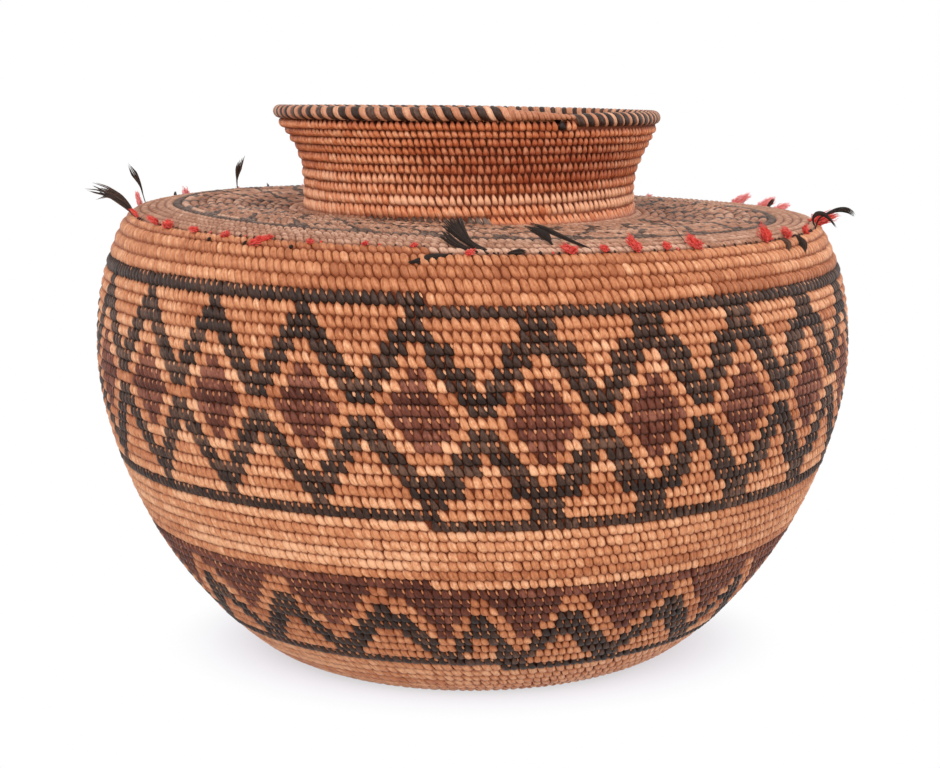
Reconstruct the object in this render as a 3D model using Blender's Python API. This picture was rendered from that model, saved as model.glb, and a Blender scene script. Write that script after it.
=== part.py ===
"""Coiled bottleneck basket with wool tufts and crest feathers sewn in at the shoulder's edge.

Run it with: blender --background --python part.py

Units are metres and +Z is up. The origin is the centre of the base, on the floor. The wall is drawn
once as an outline of (radius, height) points and spun about Z. It is made by hand, so every point is
then moved a little: the shoulder slants, the mouth dips and the neck stands aside. Azimuths are in
degrees seen from above, from the front (-Y) towards +X.
"""

import math

import bmesh
import bpy
from mathutils import Vector

# Belly: from the edge of the flat base, out to the widest turn, up to the shoulder's edge
REST_RADIUS = 0.052
BELLY_RADIUS = 0.115
BELLY_HEIGHT = 0.094
EDGE_RADIUS = 0.105
EDGE_HEIGHT = 0.1354
EDGE_ROUNDING = 0.0046

# Shoulder and neck: the shoulder climbs a little to the neck's foot, and the neck flares to its mouth
SHOULDER_RISE = 0.0018
NECK_RADIUS = 0.0505
FOOT_ROUNDING = 0.0018
NECK_STRAIGHT_HEIGHT = 0.0075
NECK_FLARE_HEIGHT = 0.0183
MOUTH_RADIUS = 0.0581

# The sewn wall: its thickness, the rim's coil, the start of the spiral and the play between sections
WALL_THICKNESS = 0.0036
RIM_COIL_RADIUS = 0.0023
START_COIL_RADIUS = 0.0065
COURSE_SWELL = 0.0004
SEAM_GAP = 0.0003

# How full the curves are: 2 is a circle's fullness, less is leaner, more is fuller
HEEL_FULLNESS = 1.6
BELLY_FULLNESS = 1.7
UPPER_WALL_POWER = 2.45
SHOULDER_POWER = 3.0
NECK_POWER = 1.75

# Hand-made faults. The shoulder's right edge hangs below its left, the mouth's back and right below
# its front and left, and the neck stands to the left of the belly's middle
SHOULDER_DROP = 0.0056
MOUTH_BACK_DROP = 0.0022
MOUTH_SIDE_DROP = 0.0010
NECK_ASIDE = 0.0010

# The slant starts this far before the wool seam, is whole this far after it, and fades before the foot
SLANT_START = 0.035
SLANT_FULL = 0.013
SLANT_FADE = 0.024

# A course is one turn of the coil. The belly's top course is this share of its lowest one's height
COURSE_TAPER = 0.9

# Sections of the spiral, from the base upwards: name, number of courses, their plumpness, finish
BELLY_SECTIONS = [
    ("heel_courses", 8, 1.06, "sedge"),
    ("base_line_course", 1, 1.0, "bracken"),
    ("zigzag_courses", 10, 1.0, "redbud"),
    ("plain_belly_courses", 6, 1.0, "sedge"),
    ("lower_border_course", 1, 1.0, "bracken"),
    ("diamond_courses", 17, 1.0, "redbud"),
    ("upper_border_course", 1, 1.0, "bracken"),
    ("plain_shoulder_courses", 4, 1.1, "sedge"),
]
SHOULDER_SECTIONS = [
    ("tuft_course", 1, 1.0, "sedge"),
    ("shoulder_plain_courses", 4, 1.0, "sedge"),
    ("shoulder_ring_course", 1, 1.0, "bracken"),
    ("shoulder_pattern_courses", 15, 1.0, "sedge"),
]
NECK_SECTIONS = [
    ("neck_courses", 10, 1.0, "sedge"),
]

# Sections of plump courses, where each turn stands out as a rib
RIBBED_SECTIONS = ["plain_belly_courses", "plain_shoulder_courses", "shoulder_plain_courses", "neck_courses"]

# Red wool tufts: azimuth, and the tip's reach along the seam, outwards and upwards.
# A tip that is below the seam is given by its reach along the seam, off the wall and down the wall
WOOL_GIRTH = 0.0022
WOOL_STAND = 0.0022
WOOL_TUFTS = [
    (-115.0, (0.0010, 0.0020, 0.0030)),
    (-93.0, (0.0010, 0.0030, 0.0050)),
    (-70.1, (-0.0030, 0.0020, 0.0014)),
    (-59.2, (-0.0028, 0.0018, 0.0016)),
    (-54.3, (0.0028, 0.0016, 0.0010)),
    (-46.7, (-0.0026, 0.0016, 0.0010)),
    (-39.3, (0.0024, 0.0016, 0.0010)),
    (-31.9, (-0.0048, 0.0022, 0.0002)),
    (-23.9, (0.0016, 0.0016, 0.0014)),
    (-15.5, (0.0018, 0.0016, 0.0010)),
    (-8.3, (-0.0018, 0.0016, 0.0010)),
    (-1.0, (-0.0004, 0.0014, -0.0018)),
    (13.7, (-0.0006, 0.0014, -0.0018)),
    (19.1, (-0.0030, 0.0018, 0.0012)),
    (24.0, (-0.0050, 0.0020, 0.0040)),
    (29.2, (-0.0028, 0.0018, 0.0022)),
    (34.3, (-0.0048, 0.0020, 0.0036)),
    (50.5, (-0.0022, 0.0020, 0.0030)),
    (57.0, (-0.0026, 0.0022, 0.0020)),
    (66.0, (-0.0024, 0.0020, 0.0016)),
    (81.5, (-0.0040, 0.0030, 0.0024)),
    (108.5, (0.0018, 0.0036, 0.0034)),
    (114.0, (0.0030, 0.0030, 0.0048)),
    (122.0, (0.0030, 0.0024, 0.0052)),
    (143.6, (0.0010, 0.0016, 0.0040)),
]

# Black crest feathers: name, azimuth, the tip's reach as above, stand off the wall, vane width
FEATHER_THICKNESS = 0.0006
CREST_FEATHERS = [
    ("left_fan_feather_low", -73.6, (-0.0060, 0.0125, 0.0018), 0.0024, 0.0019),
    ("left_fan_feather_mid", -75.2, (-0.0070, 0.0135, 0.0054), 0.0034, 0.0024),
    ("left_fan_feather_high", -76.8, (-0.0060, 0.0110, 0.0078), 0.0040, 0.0020),
    ("left_upright_feather", -97.0, (0.0010, 0.0044, 0.0094), 0.0030, 0.0016),
    ("back_left_feather", -129.7, (-0.0024, 0.0030, 0.0160), 0.0040, 0.0017),
    ("left_stub_feather", -110.6, (-0.0008, 0.0018, 0.0056), 0.0020, 0.0012),
    ("back_stub_feather", -137.1, (-0.0008, 0.0016, 0.0066), 0.0020, 0.0012),
    ("front_fan_feather_left", 1.3, (-0.0104, 0.0010, 0.0056), 0.0032, 0.0026),
    ("front_fan_feather_mid", 2.2, (-0.0086, -0.0020, 0.0082), 0.0038, 0.0028),
    ("front_fan_feather_right", 3.1, (-0.0068, -0.0044, 0.0092), 0.0044, 0.0026),
    ("front_low_feather", -2.9, (-0.0120, 0.0026, -0.0012), 0.0026, 0.0022),
    ("front_stub_feather", 4.8, (0.0028, 0.0020, 0.0006), 0.0016, 0.0012),
    ("right_front_feather_low", 15.8, (-0.0154, 0.0010, 0.0052), 0.0044, 0.0022),
    ("right_front_feather_high", 17.2, (-0.0176, -0.0030, 0.0070), 0.0050, 0.0022),
    ("right_drooping_feather_dark", 54.6, (-0.0012, 0.0022, -0.0082), 0.0030, 0.0022),
    ("right_drooping_feather_curl", 59.6, (0.0016, 0.0040, -0.0062), 0.0042, 0.0028),
    ("right_tip_feather_thin", 76.2, (0.0020, 0.0060, -0.0020), 0.0028, 0.0014),
    ("right_tip_feather_curl", 78.4, (0.0050, 0.0116, 0.0006), 0.0056, 0.0028),
    ("back_right_feather", 111.2, (0.0012, 0.0048, 0.0090), 0.0030, 0.0015),
]

# Colours and roughness of the finishes, by material
FINISHES = {
    "sedge": ((0.61, 0.33, 0.17), 0.60),
    "bracken": ((0.045, 0.036, 0.034), 0.62),
    "redbud": ((0.17, 0.068, 0.048), 0.62),
    "wool": ((0.60, 0.045, 0.05), 0.95),
    "feather": ((0.018, 0.015, 0.015), 0.50),
}

# Fineness of the model
ROUND_STEPS = 48
STATION_SPACING = 0.0085
NEAREST_STATIONS = 0.0010
RIM_STEPS = 10


def clear_scene():
    for thing in list(bpy.data.objects):
        bpy.data.objects.remove(thing, do_unlink=True)


def add_finish(thing, finish):
    colour, roughness = FINISHES[finish]
    material = bpy.data.materials.new(thing.name)
    material.use_nodes = True
    shader = material.node_tree.nodes["Principled BSDF"]
    shader.inputs["Base Color"].default_value = (*colour, 1.0)
    shader.inputs["Roughness"].default_value = roughness
    shader.inputs["Metallic"].default_value = 0.0
    material.diffuse_color = (*colour, 1.0)
    thing.data.materials.append(material)


def finished_object(name, shape, finish, parent, sharp_degrees=40.0):
    """Turn a bmesh into a named object with its own material, shaded smooth up to sharp corners."""
    mesh = bpy.data.meshes.new(name)
    shape.to_mesh(mesh)
    shape.free()
    mesh.shade_smooth()
    mesh.set_sharp_from_angle(angle=math.radians(sharp_degrees))
    thing = bpy.data.objects.new(name, mesh)
    bpy.context.scene.collection.objects.link(thing)
    thing.parent = parent
    add_finish(thing, finish)
    return thing


def add_empty(name):
    empty = bpy.data.objects.new(name, None)
    bpy.context.scene.collection.objects.link(empty)
    return empty


# The outline of the wall's outer side

def lower_wall(steps=60):
    """Base edge to widest turn: a quarter of a super-ellipse, flat on the floor where it starts."""
    points = []
    for step in range(steps + 1):
        turn = 0.5 * math.pi * step / steps
        across = math.sin(turn) ** (2.0 / HEEL_FULLNESS)
        down = max(math.cos(turn), 0.0) ** (2.0 / BELLY_FULLNESS)
        radius = REST_RADIUS + (BELLY_RADIUS - REST_RADIUS) * across
        points.append(Vector((radius, BELLY_HEIGHT * (1.0 - down))))
    return points


def upper_wall(steps=30):
    """Widest turn to the shoulder's edge, leaning in more and more."""
    points = []
    for step in range(1, steps + 1):
        share = step / steps
        radius = BELLY_RADIUS - (BELLY_RADIUS - EDGE_RADIUS) * share ** UPPER_WALL_POWER
        points.append(Vector((radius, BELLY_HEIGHT + (EDGE_HEIGHT - BELLY_HEIGHT) * share)))
    return points


def shoulder_top(steps=30):
    """Shoulder's edge in to the neck's foot: it climbs near the edge, then runs nearly level."""
    points = []
    for step in range(steps + 1):
        share = 1.0 - step / steps
        radius = NECK_RADIUS + (EDGE_RADIUS - NECK_RADIUS) * share
        points.append(Vector((radius, foot_height() - SHOULDER_RISE * share ** SHOULDER_POWER)))
    return points


def neck_side(steps=30):
    """Foot of the neck to the mouth: upright, then flaring."""
    foot = Vector((NECK_RADIUS, foot_height()))
    flare_start = foot.y + NECK_STRAIGHT_HEIGHT
    points = [foot]
    for step in range(steps + 1):
        share = step / steps
        radius = NECK_RADIUS + (MOUTH_RADIUS - NECK_RADIUS) * share ** NECK_POWER
        points.append(Vector((radius, flare_start + NECK_FLARE_HEIGHT * share)))
    return points


def foot_height():
    return EDGE_HEIGHT + SHOULDER_RISE


def lengths_along(points):
    """The distance walked along the points, at each point."""
    lengths = [0.0]
    for before, after in zip(points, points[1:]):
        lengths.append(lengths[-1] + (after - before).length)
    return lengths


def point_along(points, distance):
    """The point at a distance along the points."""
    lengths = lengths_along(points)
    distance = min(max(distance, 0.0), lengths[-1])
    for index in range(1, len(points)):
        if lengths[index] >= distance:
            break
    stretch = lengths[index] - lengths[index - 1]
    share = (distance - lengths[index - 1]) / stretch if stretch > 0.0 else 0.0
    return points[index - 1].lerp(points[index], share)


def bend(start, corner, end, steps):
    """A smooth bend from start to end that heads for the corner: a quadratic curve."""
    points = []
    for step in range(steps + 1):
        share = step / steps
        points.append(start.lerp(corner, share).lerp(corner.lerp(end, share), share))
    return points


def join_rounded(first, second, reach, steps=12):
    """Join two outlines at their shared corner. Returns the points and the distance to mid-bend."""
    first_length = lengths_along(first)[-1]
    start = point_along(first, first_length - reach)
    end = point_along(second, reach)
    kept = [point for point, walked in zip(first, lengths_along(first)) if walked < first_length - reach]
    rest = [point for point, walked in zip(second, lengths_along(second)) if walked > reach]
    rounding = bend(start, first[-1], end, steps)
    middle = lengths_along(kept + rounding[:steps // 2 + 1])[-1]
    return kept + rounding + rest, middle


def wall_outline():
    """The whole outer side, with the distances along it of the wool seam and the neck's foot."""
    body, seam_distance = join_rounded(lower_wall() + upper_wall(), shoulder_top(), EDGE_ROUNDING)
    whole, foot_distance = join_rounded(body, neck_side(), FOOT_ROUNDING)
    return whole, seam_distance, foot_distance


class Wall:
    """The outer side of the wall, read by the distance walked along it from the base's edge."""

    def __init__(self):
        self.points, self.seam_distance, self.foot_distance = wall_outline()
        self.length = lengths_along(self.points)[-1]

    def place(self, distance):
        """Point, direction along the wall and direction out of it, at a distance."""
        probe = 0.0004
        before = point_along(self.points, distance - probe)
        after = point_along(self.points, distance + probe)
        along = (after - before).normalized()
        return point_along(self.points, distance), along, Vector((along.y, -along.x))

    def slant(self, distance):
        """How much of the shoulder's slant there is at a distance, from 0 to 1."""
        start = self.seam_distance - SLANT_START
        full = self.seam_distance + SLANT_FULL
        risen = min(max((distance - start) / (full - start), 0.0), 1.0) ** 2
        left = min(max((self.foot_distance - distance) / SLANT_FADE, 0.0), 1.0)
        return min(risen, left)

    def settle(self, place, distance):
        """Move a point of the true wall to where the hand-made wall has it."""
        slant = self.slant(distance) * SHOULDER_DROP / (2.0 * EDGE_RADIUS)
        risen = max((distance - self.foot_distance) / (self.length - self.foot_distance), 0.0)
        back = risen * MOUTH_BACK_DROP / (2.0 * MOUTH_RADIUS)
        side = risen * MOUTH_SIDE_DROP / (2.0 * MOUTH_RADIUS)
        aside = min(max((distance - self.foot_distance) / SLANT_FADE + 1.0, 0.0), 1.0) * NECK_ASIDE
        drop = place.x * (slant + side) + (place.y + MOUTH_RADIUS) * back
        return Vector((place.x - aside, place.y, place.z - drop))


def section_edges(start, end, sections, taper):
    """Distances of the edges between sections. Courses shrink evenly from 1 to taper times their size."""
    counts = [courses * plumpness for name, courses, plumpness, finish in sections]
    total = sum(counts)
    whole = total * (1.0 + taper) / 2.0
    edges = []
    done = 0
    for count in [0] + counts:
        done += count
        walked = done + (taper - 1.0) * done * done / (2.0 * total)
        edges.append(start + (end - start) * walked / whole)
    return edges


# Shapes

def spin_section(wall, section, closed=True):
    """Spin (point, distance along the wall) pairs about Z, and settle every point by its distance."""
    shape = bmesh.new()
    walked = shape.verts.layers.float.new("walked")
    corners = []
    for point, distance in section:
        corner = shape.verts.new((point.x, 0.0, point.y))
        corner[walked] = distance
        corners.append(corner)
    edges = [shape.edges.new(pair) for pair in zip(corners, corners[1:])]
    if closed:
        edges.append(shape.edges.new((corners[-1], corners[0])))
    bmesh.ops.spin(shape, geom=corners + edges, cent=(0, 0, 0), axis=(0, 0, 1), dvec=(0, 0, 0),
                   angle=2.0 * math.pi, steps=ROUND_STEPS, use_merge=True, use_duplicate=False)
    bmesh.ops.remove_doubles(shape, verts=shape.verts, dist=0.00001)
    bmesh.ops.recalc_face_normals(shape, faces=shape.faces)
    for corner in shape.verts:
        corner.co = wall.settle(corner.co, corner[walked])
    return shape


def stations(wall, start, end):
    """Distances at which a section's outline gets a point: even steps, and more in the two bends."""
    count = max(2, math.ceil((end - start) / STATION_SPACING))
    found = [start + (end - start) * step / count for step in range(count + 1)]
    for middle, reach in ((wall.seam_distance, EDGE_ROUNDING), (wall.foot_distance, FOOT_ROUNDING)):
        for share in (-0.95, -0.5, 0.5, 0.95):
            extra = middle + reach * share
            inside = start < extra < end
            if inside and min(abs(extra - known) for known in found) > NEAREST_STATIONS:
                found.append(extra)
    return sorted(found)


def side_points(wall, distances, swells, depth):
    """One side of a section, at a depth in the wall. Its ends keep half the gap to the seams."""
    half_gap = 0.5 * SEAM_GAP
    last = len(distances) - 1
    points = []
    for index, (distance, swell) in enumerate(zip(distances, swells)):
        point, along, out = wall.place(distance)
        inward = {0: half_gap, last: -half_gap}.get(index, 0.0)
        points.append((point + along * inward + out * (swell - depth), distance))
    return points


def wall_section(wall, start, end, courses, ribbed):
    """The cross-section of the wall between two seams. A rib has its foot on a seam and one crest."""
    inner = stations(wall, start, end)
    outer = inner
    swells = [0.0] * len(outer)
    if courses == 1:
        swells = [COURSE_SWELL * math.sin(math.pi * (place - start) / (end - start)) for place in outer]
    if ribbed:
        outer = [start + (end - start) * step / (2 * courses) for step in range(2 * courses + 1)]
        swells = [COURSE_SWELL * (step % 2) for step in range(2 * courses + 1)]
    far_side = side_points(wall, inner, [0.0] * len(inner), WALL_THICKNESS)
    return side_points(wall, outer, swells, 0.0) + far_side[::-1]


def add_wall_rings(wall, parent):
    """One ring for each section of the spiral, from the base's edge to the mouth."""
    belly = section_edges(0.0, wall.seam_distance, BELLY_SECTIONS, COURSE_TAPER)
    shoulder = section_edges(wall.seam_distance, wall.foot_distance, SHOULDER_SECTIONS, 1.0)
    neck = section_edges(wall.foot_distance, wall.length, NECK_SECTIONS, 1.0)
    for sections, edges in ((BELLY_SECTIONS, belly), (SHOULDER_SECTIONS, shoulder), (NECK_SECTIONS, neck)):
        for (name, courses, plumpness, finish), start, end in zip(sections, edges, edges[1:]):
            section = wall_section(wall, start, end, courses, name in RIBBED_SECTIONS)
            shape = spin_section(wall, section)
            finished_object(name, shape, finish, parent)


def add_base(wall, parent):
    """The flat base: the start coil in the middle and the disc of courses round it."""
    half_gap = 0.5 * SEAM_GAP
    start_edge = START_COIL_RADIUS - half_gap
    start = [Vector((0.0, 0.0)), Vector((start_edge, 0.0)),
             Vector((start_edge, WALL_THICKNESS)), Vector((0.0, WALL_THICKNESS + COURSE_SWELL))]
    start = [(point, 0.0) for point in start]
    finished_object("start_coil", spin_section(wall, start, closed=False), "sedge", parent)
    inside = START_COIL_RADIUS + half_gap
    edge, along, out = wall.place(0.0)
    foot = Vector((edge.x - half_gap, 0.0))
    top = foot - out * WALL_THICKNESS
    disc = [Vector((inside, 0.0)), foot, Vector((top.x, WALL_THICKNESS)), Vector((inside, WALL_THICKNESS))]
    disc = [(point, 0.0) for point in disc]
    finished_object("base_disc", spin_section(wall, disc), "sedge", parent)


def add_rim_coil(wall, parent):
    """The last turn: a round coil seated on the middle of the neck's top edge."""
    point, along, out = wall.place(wall.length)
    seat = point - out * (0.5 * WALL_THICKNESS) - along * (0.5 * SEAM_GAP)
    centre = seat + along * (SEAM_GAP + RIM_COIL_RADIUS)
    section = []
    for step in range(RIM_STEPS):
        turn = 2.0 * math.pi * step / RIM_STEPS
        place = centre + (out * math.sin(turn) - along * math.cos(turn)) * RIM_COIL_RADIUS
        section.append((place, wall.length))
    finished_object("rim_coil", spin_section(wall, section), "bracken", parent)


# Trim that is sewn into the seam under the tuft course

def sweep(path, start_heading, widths, thicknesses, side, sides=6):
    """A closed solid along a path. Each ring is an ellipse that is widest along the side direction."""
    shape = bmesh.new()
    rings = []
    last = len(path) - 1
    for index, centre in enumerate(path):
        heading = (path[min(index + 1, last)] - path[max(index - 1, 0)]).normalized()
        heading = start_heading if index == 0 else heading
        across = (side - heading * side.dot(heading)).normalized()
        through = heading.cross(across)
        ring = []
        for step in range(sides):
            turn = 2.0 * math.pi * step / sides
            wide = across * (0.5 * widths[index] * math.cos(turn))
            thick = through * (0.5 * thicknesses[index] * math.sin(turn))
            ring.append(shape.verts.new(centre + wide + thick))
        rings.append(ring)
    for lower, upper in zip(rings, rings[1:]):
        for step in range(sides):
            following = (step + 1) % sides
            shape.faces.new((lower[step], lower[following], upper[following], upper[step]))
    shape.faces.new(rings[0])
    shape.faces.new(rings[-1])
    bmesh.ops.recalc_face_normals(shape, faces=shape.faces)
    return shape


def seam_root(wall):
    """Radius and height of the wool seam, and the direction out of it, in a frame facing the front."""
    point, along, out = wall.place(wall.seam_distance)
    return point, Vector((0.0, -out.x, out.y))


def trim_tip(wall, reach):
    """The tip's place from the seam. A hanging one keeps its distance off the wall below the seam."""
    along, outwards, upwards = reach
    if upwards >= 0.0:
        return Vector((along, -outwards, upwards))
    seam, along_seam, out_seam = wall.place(wall.seam_distance)
    below, along_wall, out = wall.place(wall.seam_distance + upwards)
    place = below + out * outwards - seam
    return Vector((along, -place.x, place.y))


def trim_path(wall, normal, reach, stand, shares):
    """From the seam square off the wall, then over to the tip: a quadratic curve."""
    root = normal * SEAM_GAP
    turn_off = root + normal * stand
    tip = root + trim_tip(wall, reach)
    return [root.lerp(turn_off, share).lerp(turn_off.lerp(tip, share), share) for share in shares]


def place_at_seam(thing, wall, root, azimuth):
    turn = math.radians(azimuth)
    place = Vector((root.x * math.sin(turn), -root.x * math.cos(turn), root.y))
    thing.location = wall.settle(place, wall.seam_distance)
    thing.rotation_euler = (0.0, 0.0, turn)


def add_wool_tufts(wall, parent):
    root, normal = seam_root(wall)
    shares = (0.0, 0.3, 0.6, 0.85, 1.0)
    girths = [WOOL_GIRTH * share for share in (0.5, 0.85, 1.0, 0.8, 0.35)]
    for number, (azimuth, reach) in enumerate(WOOL_TUFTS, start=1):
        path = trim_path(wall, normal, reach, WOOL_STAND, shares)
        shape = sweep(path, normal, girths, girths, Vector((0.4, 0.2, 1.0)))
        tuft = finished_object(f"wool_tuft_{number:02d}", shape, "wool", parent, 80.0)
        place_at_seam(tuft, wall, root, azimuth)


def add_crest_feathers(wall, parent):
    root, normal = seam_root(wall)
    shares = (0.0, 0.2, 0.42, 0.62, 0.78, 0.92, 1.0)
    vane = (0.22, 0.24, 0.5, 0.85, 1.0, 0.72, 0.2)
    blade = (0.8, 0.8, 1.0, 1.0, 1.0, 0.8, 0.5)
    facing = Vector((0.0, -1.0, 0.35))
    for name, azimuth, reach, stand, width in CREST_FEATHERS:
        path = trim_path(wall, normal, reach, stand, shares)
        side = (path[-1] - path[0]).cross(facing)
        widths = [max(width * share, FEATHER_THICKNESS * 0.8) for share in vane]
        thicknesses = [FEATHER_THICKNESS * share for share in blade]
        shape = sweep(path, normal, widths, thicknesses, side)
        feather = finished_object(name, shape, "feather", parent, 80.0)
        place_at_seam(feather, wall, root, azimuth)


def build():
    clear_scene()
    wall = Wall()
    basket_axis = add_empty("basket_axis")
    shoulder_trim = add_empty("shoulder_trim")
    shoulder_trim.parent = basket_axis
    add_base(wall, basket_axis)
    add_wall_rings(wall, basket_axis)
    add_rim_coil(wall, basket_axis)
    add_wool_tufts(wall, shoulder_trim)
    add_crest_feathers(wall, shoulder_trim)


build()
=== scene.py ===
# %% [markdown]
# # A coiled bottleneck basket, sewn stitch by stitch
#
# The real basket is one long bundle of grass stalks, wound in a spiral from the base to the rim.
# Every turn is sewn to the turn below it with a split strand, up to three hundred stitches to a turn.
# We do the same in numbers: one spiral, a few stitch shapes, and about nineteen thousand stitches that
# take their colour from counted patterns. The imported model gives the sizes, and stays as it is.

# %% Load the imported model
import math

import bpy
import numpy as np
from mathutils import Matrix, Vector


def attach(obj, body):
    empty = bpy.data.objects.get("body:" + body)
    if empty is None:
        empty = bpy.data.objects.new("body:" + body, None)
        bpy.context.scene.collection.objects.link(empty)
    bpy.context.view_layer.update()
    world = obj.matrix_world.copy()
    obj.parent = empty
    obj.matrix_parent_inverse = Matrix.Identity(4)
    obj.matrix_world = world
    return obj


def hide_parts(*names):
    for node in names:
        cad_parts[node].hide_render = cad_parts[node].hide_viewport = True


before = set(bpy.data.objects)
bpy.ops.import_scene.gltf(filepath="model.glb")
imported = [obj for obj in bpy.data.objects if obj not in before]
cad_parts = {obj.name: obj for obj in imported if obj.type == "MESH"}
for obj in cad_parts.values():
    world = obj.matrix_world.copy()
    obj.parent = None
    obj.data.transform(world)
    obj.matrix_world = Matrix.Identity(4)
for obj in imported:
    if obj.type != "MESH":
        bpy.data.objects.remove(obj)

MM = 0.001
FULL_TURN = 2.0 * math.pi
WHITE = (1.0, 1.0, 1.0)
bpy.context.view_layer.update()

# %% [markdown]
# ## The camera
#
# A basket is photographed from a little above its rim, so that the shoulder shows as a thin ellipse.
# A long lens from 60 cm away keeps the sides nearly upright. Its place was found by fitting the
# outline, the shoulder ring and the mouth to their places in the picture.

# %% Camera
CAMERA_PLACE = (-0.0008, -0.6121, 0.1898)
CAMERA_TILT = 10.08
CAMERA_LENS = 75.9


def put_in_scene(name, data):
    """A new object for a mesh, a lamp or the camera."""
    thing = bpy.data.objects.new(name, data)
    bpy.context.scene.collection.objects.link(thing)
    return thing


camera = put_in_scene("camera", bpy.data.cameras.new("camera"))
camera.data.lens = CAMERA_LENS
camera.data.sensor_width = 36.0
camera.data.clip_start = 0.05
camera.data.clip_end = 20.0
camera.location = CAMERA_PLACE
camera.rotation_euler = (math.radians(90.0 - CAMERA_TILT), 0.0, 0.0)
bpy.context.scene.camera = camera
bpy.context.scene.view_settings.view_transform = "Standard"
print("camera looks down", CAMERA_TILT, "degrees with a", CAMERA_LENS, "mm lens")

# %% [markdown]
# ## Wiring nodes
#
# A material, or the world, is a small circuit: nodes with sockets, and wires between them. These
# helpers add a node and feed its sockets in one go, with a number, a colour or another node's output.

# %% Node helpers
def feed(tree, node, feeds):
    """Feed sockets with numbers or colours, or join them to an output given as (node, socket)."""
    for key, value in feeds.items():
        socket = node.inputs[key]
        if isinstance(value, tuple) and isinstance(value[0], bpy.types.Node):
            tree.links.new(value[0].outputs[value[1]], socket)
        else:
            socket.default_value = (*value, 1.0) if socket.type == "RGBA" else value


def add_node(tree, kind, feeds=None, **settings):
    node = tree.nodes.new("ShaderNode" + kind)
    for key, value in settings.items():
        setattr(node, key, value)
    feed(tree, node, feeds or {})
    return node


def maths(tree, operation, *values, clamp=False):
    return add_node(tree, "Math", dict(enumerate(values)), operation=operation, use_clamp=clamp), 0


def seen_directly(tree):
    """1 where the camera, a mirror or glass sees the surface, 0 where it only lights others."""
    path = add_node(tree, "LightPath")
    either = maths(tree, "MAXIMUM", (path, "Is Camera Ray"), (path, "Is Glossy Ray"))
    return maths(tree, "MAXIMUM", either, (path, "Is Transmission Ray"))


print("node helpers ready")

# %% [markdown]
# ## Studio light
#
# Large lamps give the soft, nearly shadowless light of a museum photograph: a key from the upper
# left, a weaker fill from the right and a little from above and both sides. The world adds even light
# from all round, and the camera sees it as plain white.

# %% Lamps and world
WORLD_LEVEL = 0.42
LAMPS = [
    ("key_lamp", (-0.31, -1.64, 1.25), 1.1, 26.6),
    ("fill_lamp", (1.15, -1.35, 0.55), 1.5, 9.0),
    ("top_lamp", (0.10, 0.25, 1.55), 1.2, 6.0),
    ("left", (-1.65, 0.60, 0.45), 1.2, 4.6),
    ("right", (1.65, 0.60, 0.45), 1.2, 7.0),
]
LAMP_TARGET = Vector((0.0, 0.0, 0.09))

for name, place, size, power in LAMPS:
    lamp = put_in_scene(name, bpy.data.lights.new(name, "AREA"))
    lamp.data.size = size
    lamp.data.energy = power
    lamp.location = place
    lamp.rotation_euler = (LAMP_TARGET - lamp.location).to_track_quat("-Z", "Y").to_euler()

world = bpy.data.worlds.new("studio")
bpy.context.scene.world = world
world.use_nodes = True
tree = world.node_tree
tree.nodes.clear()
lit = add_node(tree, "Background", {"Strength": WORLD_LEVEL, "Color": WHITE})
shown = add_node(tree, "Background", {"Strength": 1.0, "Color": WHITE})
choice = add_node(tree, "MixShader", {0: seen_directly(tree), 1: (lit, 0), 2: (shown, 0)})
add_node(tree, "OutputWorld", {0: (choice, 0)})
print("lamps:", [name for name, *_ in LAMPS])

# %% [markdown]
# ## The floor
#
# The sheet of paper under the basket is white, with a faint lilac shadow round the foot. Most of the
# white is given to the camera as it is, so that the paper stays white without stronger lamps, and the
# rest is ordinary paper that takes the shadow. Further out, and sooner in front than at the sides, the
# paper is white alone. The lilac is only for the eye: what the paper throws back is a warm white.

# %% Floor
FLOOR_RADIUS = 4.0
FLOOR_CORNERS = 96
SHADOW_SHARE = 0.50
SHADOW_REACH = (0.050, 0.100)
SHADOW_SQUEEZE = (1.0, 1.2, 1.0)
PAPER_SEEN = (0.75, 0.65, 1.0)
PAPER_LIT = (0.88, 0.82, 0.74)


def new_material(name):
    material = bpy.data.materials.new(name)
    material.use_nodes = True
    return material, material.node_tree


def mix_colours(tree, amount, first, second, blend="MIX"):
    """Two colours mixed; 6, 7 and 2 are the colour sockets of a Mix node."""
    feeds = {0: amount, 6: first, 7: second}
    return add_node(tree, "Mix", feeds, data_type="RGBA", blend_type=blend), 2


ring = [(FLOOR_RADIUS * math.cos(turn), FLOOR_RADIUS * math.sin(turn), 0.0)
        for turn in np.linspace(0.0, FULL_TURN, FLOOR_CORNERS + 1)[:-1]]
floor_mesh = bpy.data.meshes.new("floor")
floor_mesh.from_pydata(ring, [], [list(range(FLOOR_CORNERS))])
floor = put_in_scene("floor", floor_mesh)

paper, tree = new_material("white_paper")
tree.nodes.clear()
eye = seen_directly(tree)
matt = add_node(tree, "BsdfDiffuse", {"Color": mix_colours(tree, eye, PAPER_LIT, PAPER_SEEN)})
white = add_node(tree, "Emission", {"Color": WHITE})
place = (add_node(tree, "TexCoord"), "Object")
squeezed = add_node(tree, "VectorMath", {0: place, 1: SHADOW_SQUEEZE}, operation="MULTIPLY")
reach = add_node(tree, "VectorMath", {0: (squeezed, 0)}, operation="LENGTH")
share = add_node(tree, "MapRange", {
    "Value": (reach, "Value"), "From Min": SHADOW_REACH[0], "From Max": SHADOW_REACH[1],
    "To Min": 1.0 - SHADOW_SHARE}, interpolation_type="SMOOTHSTEP")
amount = maths(tree, "MULTIPLY", (share, 0), eye)
choice = add_node(tree, "MixShader", {0: amount, 1: (matt, 0), 2: (white, 0)})
add_node(tree, "OutputMaterial", {0: (choice, 0)})
floor_mesh.materials.append(paper)
print("floor radius", FLOOR_RADIUS, "m")

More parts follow.
